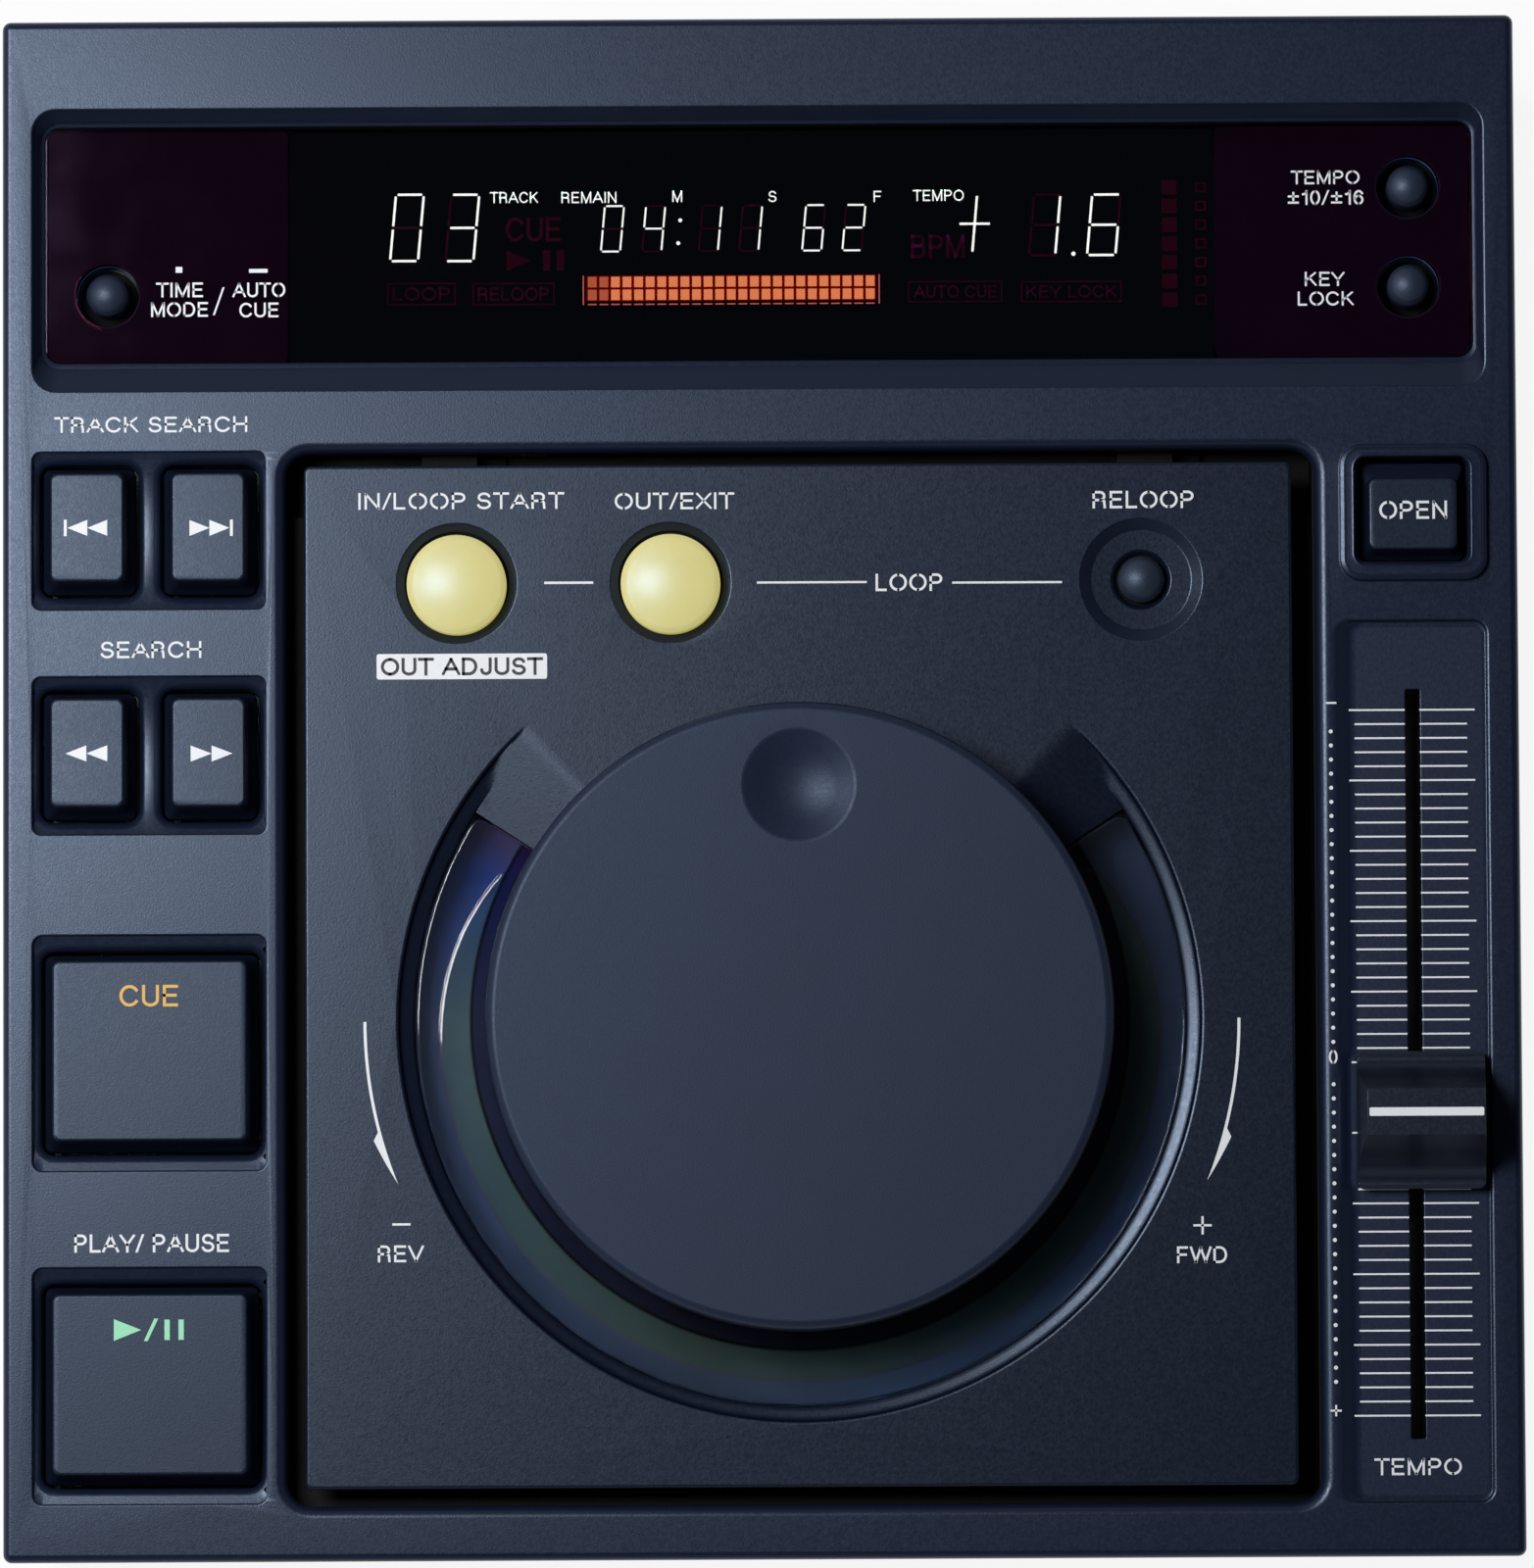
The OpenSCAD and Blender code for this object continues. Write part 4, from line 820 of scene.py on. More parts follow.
def add_fader_field(form):
    """The fader's field, with a gentle slope along its left side, and the knob's slot."""
    rings = []
    for out, drop, shift in [(0.28, 0, -0.3), (0.1, 0.05, 0), (0, 0.08, 0.15), (-0.1, 0.5, 0.75),
                             (-0.18, 0.88, 1.3), (-0.26, 0.97, 1.7), (-0.4, 1.0, 2.1)]:
        x, y, width, depth, radius = grown(FADER_FIELD, out)
        rings.append(form.ring(rounded([x + shift / 2, y, width - shift, depth, radius]), PLATE_Z - drop))
    outline, floor = form.loft(rings)
    slot = sunk_hole(form, FADER_SLOT, FADER_FLOOR, [(0.15, 0), (0.04, 0.04), (0, 0.15), (0, 1.5)])
    rim, low = form.loft(slot)
    form.fill(floor, [rim])
    return outline, (low, FADER_SLOT, 0)


def close_underside(form, bottom, lows):
    """The plate's underside, where each deep hole has a wall of its own below the plate."""
    inside = grown(CASING, -WALL)
    roof = form.ring(rounded(inside), PLATE_UNDER)
    foot = form.ring(rounded(inside), casing_low.z)
    form.band(roof, foot)
    form.band(foot, bottom)
    holes = []
    for ring, rect, wall in lows:
        if wall:
            along = len(ring) // 4 - 6
            outline = rounded(grown(rect, wall), 6, along)
            outer = form.ring(outline, form.points[ring[0]][2])
            upper = form.ring(outline, PLATE_UNDER)
            form.band(ring, outer)
            form.band(outer, upper)
            ring = upper
        holes.append(ring)
    form.fill(roof, holes)


def cut_bay(piece):
    """Opens the back wall for the connector panel."""
    form = Form()
    low_x, high_x, low_z, high_z = BAY
    corner, spare = 1.5, 3
    outline = rounded([(low_x + high_x) / 2, (low_z + high_z) / 2, high_x - low_x, high_z - low_z, corner], 4)
    form.bridge(*[[(x, CASING[3] / 2 + out, z) for x, z in outline] for out in (-WALL - spare, spare)])
    cut_with(piece, form.make("bay_cutter"), "DIFFERENCE")
    tidy(piece)


def make_top_housing():
    form = Form()
    bottom, plate_edge = form.rects(edged(CASING, casing_low.z, PLATE_Z, EDGE_R, 8))
    openings = [add_display_field(form), *[add_well(form, name) for name in WELLS]]
    openings += [add_lid_opening(form), add_collar(form), add_fader_field(form)]
    form.fill(plate_edge, [outline for outline, *_ in openings])
    close_underside(form, bottom, [low for _, *lows in openings for low in lows])
    piece = form.make("top_housing_shell")
    cut_bay(piece)
    dress(piece, "casing", "casing_plastic", "top_housing")


make_top_housing()

# ---------------------------------------------------------------- lid

LOOP_KEY_TURN = 106


def round_dial(radius, degrees):
    """A point at a distance and an angle from the dial's axis."""
    angle = math.radians(degrees)
    return DIAL_X + radius * math.cos(angle), DIAL_Y + radius * math.sin(angle)


def groove_height(radius, angle):
    """Height of the lid's surface at a distance and an angle (degrees from +X) from the dial's middle."""
    side = angle % 360
    if side > 180 + 90:
        side -= 360
    from_ramp = side - RAMP_FROM if side > 90 else 180 - RAMP_FROM - side
    across = max(0.0, radius * math.sin(math.radians(min(from_ramp, 90)))) if from_ramp > 0 else 0.0
    slope = GROOVE_DROP / (GROOVE_R * math.sin(math.radians(ARC_FROM - RAMP_FROM)))
    ramp = across * slope
    return LID_TOP - min(wall_drop(GROOVE_R - radius), ramp)


def wall_drop(inside):
    """How deep the groove's wall lies at a distance inside its rim: a lip, a step, a cone and the floor."""
    steps = [(-0.45, 0.0), (-0.1, 0.08), (0.0, 0.15), (0.1, 0.8), (0.3, 1.0), (1.95, 1.42), (2.1, 1.6),
             (2.15, GROOVE_DROP)]
    for (near, high), (far, low) in zip(steps, steps[1:]):
        if inside < far:
            return high + (low - high) * max(0.0, (inside - near) / (far - near))
    return GROOVE_DROP


def give_way(radius, degrees):
    """A groove line's radius, drawn in a little where a loop key's dish stands close to it."""
    room, full, fade, start = 1.7, 6, 6, 50
    share = min(1, max(0, (full + fade - abs(degrees - LOOP_KEY_TURN)) / fade))
    return radius - room * share * max(0, (radius - start) / (GROOVE_R - start))


def boss_outline():
    """The round boss under the groove, which gives way where a loop key stands close to it."""
    step, half_turn, near = 3, 8, 56.4
    return [round_dial(near if abs(degrees - LOOP_KEY_TURN) < half_turn else RING_R, degrees)
            for degrees in range(0, 360, step)]


def add_groove(form):
    """The groove round the dial. Returns its rim, its inner ring and the foot of the arc window's slot."""
    steps = 360
    radii = [GROOVE_R + out for out in (0.45, 0.1, 0, -0.1, -0.3, -0.8, -1.4, -1.95, -2.1)]
    radii += [SLOT_OUT, 53.5, 51.5, 49, 46.5, 44, SLOT_IN, 40.2, 39.6]
    rings = [form.add([(*round_dial(give_way(radius, i), i), groove_height(radius, i)) for i in range(steps)])
             for radius in radii]
    rings.append(form.ring(circle(DIAL_X, DIAL_Y, 39.2, steps), LID_TOP))
    first, last = radii.index(SLOT_OUT), radii.index(SLOT_IN)
    for level, (a, b) in enumerate(zip(rings, rings[1:])):
        for i in range(steps):
            if first <= level < last and (i >= ARC_FROM or i < ARC_TO - steps):
                continue
            j = (i + 1) % steps
            form.faces.append((a[i], a[j], b[j], b[i]))

    # The slot's edge: out along the far side, back along the near side
    arc = [i % steps for i in range(ARC_FROM, ARC_TO + 1)]
    edge = [rings[first][i] for i in arc]
    edge += [rings[level][arc[-1]] for level in range(first + 1, last)]
    edge += [rings[last][i] for i in reversed(arc)]
    edge += [rings[level][arc[0]] for level in range(last - 1, first, -1)]
    foot = form.ring([form.points[i][:2] for i in edge], RING_Z)
    form.band(edge, foot)
    return rings[0], rings[-1], foot


def add_key_dish(form, node):
    """A key hole in a dish: the loop keys' are conical and the reloop key's has a flat floor."""
    x, y, *_ = node_rect(node, 0)
    small = node == "reloop_button"
    inner, outer, deep = RELOOP_KEY_DISH if small else LOOP_DISH
    hole_r = RELOOP_HOLE_R if small else LOOP_HOLE_R
    floor = LID_TOP
    thin = 0.3

    def level(path):
        return form.loft([form.ring(circle(x, y, r), z) for r, z in path])
    if small:
        near, far, drop = RELOOP_DISH
        floor -= drop
        rim, flat = level([(far + 0.15, LID_TOP), (far - 0.05, LID_TOP - 0.05), (near + 0.1, floor + 0.05),
                           (near - 0.15, floor)])
    ledge = floor - deep
    top, low = level([(outer + 0.12, floor), (outer - 0.05, floor - 0.05), (inner + 0.05, ledge),
                      (inner, ledge - 0.1), (inner, ledge - thin), (hole_r, ledge - thin - 0.05),
                      (hole_r, LID_UNDER - 0.01)])
    if not small:
        return top, low
    form.fill(flat, [top])
    return rim, low


def make_lid_panel():
    form = Form()
    bottom, plate = form.rects(edged(LID, LID_UNDER, LID_TOP, 0.5, 5))
    rim, inner, slot = add_groove(form)
    bush_top, bush_low = [form.ring(circle(DIAL_X, DIAL_Y, BUSH_R), z) for z in (LID_TOP, RING_Z)]
    form.fill(inner, [bush_top])
    form.band(bush_top, bush_low)
    boss_low, boss_top = [form.ring(boss_outline(), z) for z in (RING_Z, LID_UNDER)]
    form.band(boss_low, boss_top)
    form.fill(boss_low, [bush_low, slot])
    dishes = [add_key_dish(form, node) for node in ("loop_in_button", "loop_out_button", "reloop_button")]
    form.fill(plate, [rim] + [top for top, _ in dishes])
    form.fill(bottom, [boss_top] + [low for _, low in dishes])
    dress(form.make("lid_shell", sharp=50), "lid", "lid_plastic", "lid_panel")


make_lid_panel()

# ---------------------------------------------------------------- dial, keys, knob


def make_dial():
    """The dial's cap, with a round edge, a finger dimple, a hollow underside and a shaft."""
    form = Form()
    foot = LID_TOP + 0.6
    wall, boss_r, boss_low, shaft_r = 3, 9, 87.4, 3
    offset, radius, depth = 32.6, 7.6, 2.0

    def level(r, z):
        return form.ring(circle(DIAL_X, DIAL_Y, r, 160), z)
    outside = [(DIAL_R, foot)] + [(DIAL_R + out, DIAL_TOP - drop) for out, drop in edge_fillet(1.4, 6)]
    skirt, top = form.loft([level(r, z) for r, z in outside])
    hollow = [(DIAL_R - 0.5, foot), (DIAL_R - wall, foot), (DIAL_R - wall, DIAL_TOP - wall),
              (boss_r, DIAL_TOP - wall), (boss_r, boss_low), (shaft_r, boss_low), (shaft_r, dial_low.z)]
    form.fill(form.loft([skirt] + [level(r, z) for r, z in hollow])[1])

    ball = (radius ** 2 + depth ** 2) / (2 * depth)
    path = [(radius + 0.7, 0.0), (radius + 0.35, 0.04), (radius, 0.16), (radius - 0.4, 0.34)]
    for i in range(1, 9):
        r = (radius - 0.4) * (1 - i / 9)
        path.append((r, depth - ball + math.sqrt(ball ** 2 - r ** 2)))
    cup = [form.ring(circle(DIAL_X, DIAL_Y + offset, r), DIAL_TOP - drop) for r, drop in path]
    rim, low = form.loft(cup)
    pole = form.add([(DIAL_X, DIAL_Y + offset, DIAL_TOP - depth)])[0]
    for a, b in zip(low, low[1:] + low[:1]):
        form.faces.append((pole, a, b))
    form.fill(top, [rim])
    dress(form.make("dial_cap"), "dial", "dial_plastic", "jog_dial")


def make_dome_key(node, slot, body_r, flange_r, shoulder_z, base_z,
                  fillet=0.5, shift=0.0, thick=1.3, step=0.0):
    """A round key with a straight side and a domed top, on a flange that keeps it in its hole; the flange is
    painted near black as shade.
    """
    x, y, *_ = node_rect(node, 0)
    top = node_box(node)[1].z
    rise = top - shoulder_z
    ball = (body_r ** 2 + rise ** 2) / (2 * rise)
    foot = base_z + thick
    profile = [(0, foot), (body_r - 0.1, foot), (body_r, foot + 0.1), (body_r, shoulder_z - fillet)]
    lean = math.asin(min(1, (body_r - fillet) / ball))
    for i in range(1, 4):
        angle = (math.pi / 2 - lean) * i / 4
        profile.append((body_r - fillet * (1 - math.cos(angle)),
                        shoulder_z - fillet + fillet * math.sin(angle)))
    steps = 10
    for i in range(steps):
        angle = lean * (1 - i / steps)
        z = top - ball + ball * math.cos(angle)
        if step and not i:
            profile += [(body_r - step, z), (body_r - step - 0.1, z + 0.16)]
        else:
            profile.append((ball * math.sin(angle), z))
    profile.append((0, top))
    skirt = [(0, base_z), (flange_r - 0.2, base_z), (flange_r, base_z + 0.2), (flange_r, foot - 0.2),
             (flange_r - 0.2, foot), (0, foot)]
    body = node.replace("_button", "_key")
    name = node.replace("_button", "_dome")
    for path, piece_name, own_slot, finish in [(profile, name, slot, slot),
                                               (skirt, name + "_flange", "black_plastic", "shaded_plastic")]:
        form = Form()
        form.lathe(x, y + shift, path, 72)
        dress(form.make(piece_name, sharp=50), body, own_slot, node, finish=finish)


def crisp_edge(face, top):
    """The last rings of a key cap: a small round edge and a fine band that slopes enough to catch light."""
    return [(grown(face, 0.1), top - 0.3), (grown(face, 0.04), top - 0.15), (grown(face, -0.03), top - 0.06),
            (grown(face, -0.22), top)]


def make_key_cap(node):
    """A key cap with a fine rounded edge, a wide skirt down in its hole and a stem over its switch."""
    low, high = node_box(node)
    form = Form()
    skirt = node_rect(node, 1.0)
    x, y, width, depth, _ = skirt
    face = [x, y + 0.2, width - 3.0, depth - 2.85, 0.9]
    turn_z = PLATE_Z - WELL_DROP + 0.4
    foot = KEY_BLOCK_Z + 0.6
    stem = 5
    path = [(grown(skirt, -0.2), foot), (skirt, foot + 0.2), (skirt, turn_z - 1.2),
            (grown(skirt, -0.15), turn_z - 1.0), (grown(face, 0.5), turn_z + 0.6)]
    form.solid(path + crisp_edge(face, high.z))
    form.prism(slab(x, y, stem, stem), low.z, foot + 0.1)
    name = node.replace("_button", "_cap")
    dress(form.make(name, sharp=44), node.replace("_button", "_key"), "key_plastic", node)


def make_open_key():
    """The open key's cap, on a foot whose ramp pushes the latch."""
    form = Form()
    x, y = OPEN
    skirt = [x, y, 14.8, 14, 0.9]
    face = [x, y - 0.65, 12.36, 9.94, 0.9]
    path = [(skirt, PLATE_Z - 5.5), (skirt, PLATE_Z - 2.6), (grown(skirt, -0.1), PLATE_Z - 2.4),
            (grown(face, 0.45), PLATE_Z - 1.2)]
    form.solid(path + crisp_edge(face, node_box("open_button")[1].z))
    front, back, ramp = 36, 41, 27
    neck = PLATE_UNDER - 2.9
    foot = [(front, front + ramp), (back, back + ramp), (back, neck), (front, neck)]
    form.bridge(*[[(x + side, fy, fz) for fy, fz in foot] for side in (-2, 2)])
    dress(form.make("open_key_cap", sharp=44), "open_key", "key_plastic", "open_button")


def make_knob():
    """The fader's knob: two dished wings and a tall narrow ridge between them."""
    low, high = node_box("tempo_knob")
    x, y, width, depth, corner = node_rect("tempo_knob", 1.0)
    half = depth / 2
    rim, edge, dip = 84.3, 0.5, 0.35
    ridge_half, ridge_lean, inset = 3.3, 0.7, 0.75
    wing = half - edge - ridge_half
    count = 14
    front = []
    for i in range(count):
        share = i / count
        hollow = dip * math.sin(math.pi * share) * (1 - share)
        front.append((-half + edge + wing * share, rim + (high.z - rim) * share ** 2.4 - hollow))
    front.append((-ridge_half, high.z))
    back = [(-along, up) for along, up in reversed(front)]
    outline = [(-half, low.z), (-half, rim - 0.4)] + front + back + [(half, rim - 0.4), (half, low.z)]
    ends = []
    for side in (-1, 1):
        lifts = [max(0.0, (up - rim) / (high.z - rim)) for _, up in outline]
        ends.append([(x + side * (width / 2 - inset * lift), y + along + ridge_lean * lift, up)
                     for (along, up), lift in zip(outline, lifts)])
    form = Form()
    form.bridge(*ends)
    piece = form.make("tempo_knob_cap", smooth=False)
    rounder = Form()
    rounder.prism(rounded([x, y, width, depth, corner], 5), low.z - 1, high.z + 1)
    cut_with(piece, rounder.make("knob_cutter", smooth=False), "INTERSECT")
    bevel(piece, width=0.42, segments=3, sharp=32)
    tidy(piece, sharp=14)
    dress(piece, "fader", "knob_plastic", "tempo_knob")


def make_keys():
    base = LID_UNDER - 0.2
    for node in ("loop_in_button", "loop_out_button"):
        shoulder = node_box(node)[1].z - 1.5
        make_dome_key(node, "loop_key_plastic", 7.12, 8.1, shoulder, base, fillet=0.3, shift=-0.3, step=0.5)
    make_dome_key("reloop_button", "small_key_plastic", 3.3, 3.9, LID_TOP + 0.2, base, thick=0.6)
    for node in SMALL_KEYS:
        make_dome_key(node, "small_key_plastic", 2.95, 4.1, WINDOW_TOP + 0.5, node_box(node)[0].z)
    for nodes in WELL_KEYS.values():
        for node in nodes:
            make_key_cap(node)
    make_open_key()


make_dial()
make_keys()
make_knob()

# ---------------------------------------------------------------- windows


def make_window():
    """The smoked window, with a fine bevel and three key holes."""
    form = Form()
    low, top = form.rects([(grown(WINDOW, -0.1), WINDOW_LOW), (WINDOW, WINDOW_LOW + 0.1),
                           (WINDOW, WINDOW_TOP - 0.1), (grown(WINDOW, -0.05), WINDOW_TOP - 0.06),
                           (grown(WINDOW, -0.25), WINDOW_TOP)])
    holes = []
    for node in SMALL_KEYS:
        x, y, *_ = node_rect(node, 0)
        rings = [form.ring(circle(x, y, SMALL_HOLE_R + out), WINDOW_TOP - drop)
                 for out, drop in hole_fillet(0.25, 2)]
        holes.append(form.loft(rings + [form.ring(circle(x, y, SMALL_HOLE_R), WINDOW_LOW)]))
    form.fill(top, [hole for hole, _ in holes])
    form.fill(low, [hole for _, hole in holes])
    dress(form.make("display_glass", sharp=10), "casing", "smoked_window", "display_window")


def make_masks():
    """Dark plates just under the window, left and right of the tube, with holes for the keys; their faint
    glow is painted light.
    """
    top = WINDOW_LOW - 0.1
    thickness = 0.3
    tube_left, tube_right = -67.7, 65.6
    edge = WINDOW[2] / 2 - 0.4
    for name, left, right in [("left", WINDOW[0] - edge, tube_left),
                              ("right", tube_right, WINDOW[0] + edge)]:
        form = Form()
        outline = rounded([(left + right) / 2, WINDOW[1], right - left, WINDOW[3] - 0.8, 1.0])
        places = [node_rect(node, 0)[:2] for node in SMALL_KEYS]
        holes = [circle(x, y, SMALL_HOLE_R) for x, y in places if left < x < right]
        form.prism(outline, top - thickness, top, holes)
        dress(form.make(f"display_mask_{name}"), "casing", "black_plastic", finish="mask_print_glow_paint")


def make_tube_surround():
    """A dark filter sheet level with the tube's face, which fills the window's middle."""
    top = node_box("display_tube")[1].z + 0.005
    form = Form()
    left, right = -67.5, 65.4
    outline = rounded([(left + right) / 2, WINDOW[1], right - left, WINDOW[3] - 1, 0.5], 2)
    form.prism(outline, top - 0.3, top)
    dress(form.make("display_filter"), "casing", "tube_glass")


def fold_radius(turn):
    """How far from the dial's axis the arc window's fold lies, turn degrees from the window's nearer end."""
    hook = 6.0
    if turn < hook:
        return 47.5 - 6 * min(1, (hook - turn) / 1.2) ** 2
    return 51.5 - 4 * max(0.0, 1 - (turn - hook) / 34) ** 2


def arc_section(angle):
    """The arc window's outline (radius, height) at an angle, with its flange below and its fold on top."""
    outer, inner, corner, edge = 54.95, 41.3, 2.0, 0.5
    flange_in, flange_out, flange_low = 39.7, 56.2, RING_Z - 1.2
    seat = RING_Z - 0.02
    end = min(angle - ARC_ENDS[0], ARC_ENDS[1] - angle)
    along = math.radians(end) * outer
    rim = outer - corner + math.sqrt(max(0.0, corner ** 2 - max(0.0, corner - along) ** 2))
    fold = min(fold_radius(end), rim - 1.3)
    end_drop = edge - math.sqrt(edge ** 2 - max(0.0, edge - along) ** 2)
    low = ARC_TOP - ARC_FOLD
    line = [(flange_out, flange_low), (flange_out, seat), (rim, seat), (rim, low - edge - end_drop)]
    line += [(rim + out, low - max(drop, end_drop)) for out, drop in edge_fillet(edge, 5)]
    line += [(fold + 0.3, low - end_drop), (fold + 0.15, low + ARC_FOLD * 0.45 - end_drop),
             (fold - 0.3, ARC_TOP - end_drop)]
    line += [(inner, (ARC_TOP if fold > inner + 1 else low) - end_drop), (inner, seat),
             (flange_in, seat), (flange_in, flange_low)]
    return line


ARC_ENDS = [ARC_FROM + 0.35, ARC_TO - 0.35]


def make_arc_window():
    """The smoked arc in the lid's groove: round edges, and a raised part whose fold runs in to the dial."""
    form = Form()
    first, last = ARC_ENDS
    near = [0, 0.02, 0.06, 0.15, 0.3, 0.52, 0.8, 1.1, 1.5, 2.1, 3, 4, 4.8, 5.1, 5.4, 5.7, 6, 6.5, 7.5, 9]
    middle = (last - first) / 2
    turns = near + [9 + i * (middle - 9) / 50 for i in range(1, 51)]
    turns = [first + t for t in turns] + [last - t for t in reversed(turns[:-1])]
    loops = [form.add([(*round_dial(r, angle), z) for r, z in arc_section(angle)]) for angle in turns]
    for end in form.loft(loops):
        form.cap(end)
    dress(form.make("arc_glass", sharp=50), "lid", "smoked_arc", "dial_window")


make_window()
make_masks()
make_tube_surround()
make_arc_window()

# ---------------------------------------------------------------- printed words and signs

PRINT = 0.04
LEAN = 0.088
# The ends of a digit's segments, in halves of its width and height
SEGMENTS = {"a": ((-1, 1), (1, 1)), "b": ((1, 1), (1, 0)), "c": ((1, 0), (1, -1)), "d": ((-1, -1), (1, -1)),
            "e": ((-1, 0), (-1, -1)), "f": ((-1, 1), (-1, 0)), "g": ((-1, 0), (1, 0))}


class Marks(Form):
    """Flat marks at height z, placed where they appear in the plate's plane."""

    def __init__(self, z):
        super().__init__()
        self.z = z
        self.share = (CAMERA.z - z) / (CAMERA.z - PLATE_Z)

    def flat(self, outline):
        """A thin flat shape with the given outline."""
        self.prism([seen_at(x, y, self.z) for x, y in outline], self.z, self.z + PRINT)

    def bar(self, x, y, width, height, lean=0.0):
        """An upright or slanting bar; lean is how far its top stands to the right of its foot."""
        self.flat(slab(x, y, width, height, lean))

    def line(self, x0, y0, x1, y1, width):
        """A straight line between two points, with flat ends."""
        along = Vector((x1 - x0, y1 - y0)).normalized() * width / 2
        self.flat([(x0 + along.y, y0 - along.x), (x1 + along.y, y1 - along.x),
                   (x1 - along.y, y1 + along.x), (x0 - along.y, y0 + along.x)])

    def frame(self, x, y, width, height, thickness):
        """A rectangle of four thin bars."""
        for side in (-1, 1):
            self.bar(x + side * (width - thickness) / 2, y, thickness, height)
            self.bar(x, y + side * (height - thickness) / 2, width - 2 * thickness, thickness)

    def dot(self, x, y, diameter):
        self.flat(circle(x, y, diameter / 2, 16))

    def arrow(self, x, y, width, height, way):
        """A triangle that points to the right (way 1) or to the left (way -1)."""
        corners = [(x - way * width / 2, y - height / 2), (x + way * width / 2, y),
                   (x - way * width / 2, y + height / 2)]
        self.flat(corners if way > 0 else corners[::-1])

    def words(self, text, x, y, width, height, weight=0.14):
        """A word whose middle and size are given; weight is the stroke as a share of the height."""
        stroke = weight * height
        pen = 0.0
        lines = []
        for place, letter in enumerate(text):
            wide, *paths = LETTERS[letter]
            pen += (bearing(letter) + bearing(text[place - 1])) if place else 0.0
            lines += [[Vector((pen + px, py)) for px, py in path] for path in paths]
            pen += wide
        across = (width - stroke) / pen if pen else 1.0
        up = height - stroke
        low, high = y - height / 2, y + height / 2
        for line in lines:
            centre = [Vector((x + (p.x - pen / 2) * across, y + (p.y - 0.5) * up)) for p in line]
            self.flat(ribbon(centre, stroke, low, high))

    def digit(self, segments, x, y, width, height, stroke):
        """Some segments of a seven-segment digit, as thin slanting bars."""
        gap = stroke * 0.75
        lean = height * LEAN
        half_w, half_h = (width - stroke) / 2 - lean / 2, (height - stroke) / 2

        def at(px, py):
            return x + px + lean * py / (2 * half_h), y + py
        for name in segments:
            (ax, ay), (bx, by) = SEGMENTS[name]
            a = Vector((ax * half_w, ay * half_h))
            b = Vector((bx * half_w, by * half_h))
            inset = (b - a).normalized() * gap
            self.line(*at(*(a + inset)), *at(*(b - inset)), stroke)

    def each(self, draw, rows):
        """Draws one mark for each row of values."""
        for row in rows:
            draw(*row)

    def finish(self, name, finish, body, slot="white_plastic"):
        dress(self.make(name, smooth=False), body, slot, finish=finish)


def bow(x, y, rx, ry, first, last, steps=8):
    """Points on an ellipse from one angle to another, in degrees."""
    turns = [math.radians(first + (last - first) * i / steps) for i in range(steps + 1)]
    return [(x + rx * math.cos(turn), y + ry * math.sin(turn)) for turn in turns]


def ribbon(points, width, low, high):
    """The outline of an even stroke through some points, cut off flat at heights low and high."""
    half = width / 2
    left = []
    right = []
    for i, point in enumerate(points):
        before = (point - points[i - 1]).normalized() if i else None
        after = (points[i + 1] - point).normalized() if i < len(points) - 1 else None
        along = ((before or after) + (after or before)).normalized()
        across = Vector((-along.y, along.x))
        turn = (before or after).dot(along)
        reach = half / max(turn, 0.5)
        end = point - along * half if before is None else point + along * half if after is None else point
        left.append(end + across * reach)
        right.append(end - across * reach)
    return [(p.x, min(max(p.y, low), high)) for p in right + left[::-1]]


def bearing(letter):
    """Half of the clear space beside a letter: more beside a stem, less beside a slope."""
    return 0.09 if letter in "ATVWXY/" else 0.13 if letter in "COGQS0689" else 0.16


def ring(x, y, rx, ry):
    """A closed round stroke, as two halves."""
    return bow(x, y, rx, ry, 90, 270, 12), bow(x, y, rx, ry, 270, 450, 12)


def lobe(x, low, high, reach):
    """A stroke that leaves a stem at the top and comes back to it: the bowl of a P, a B or a D."""
    half = (high - low) / 2
    return [(0, high)] + bow(x, low + half, reach, half, 90, -90, 12) + [(0, low)]


STEM = [(0, 0), (0, 1)]
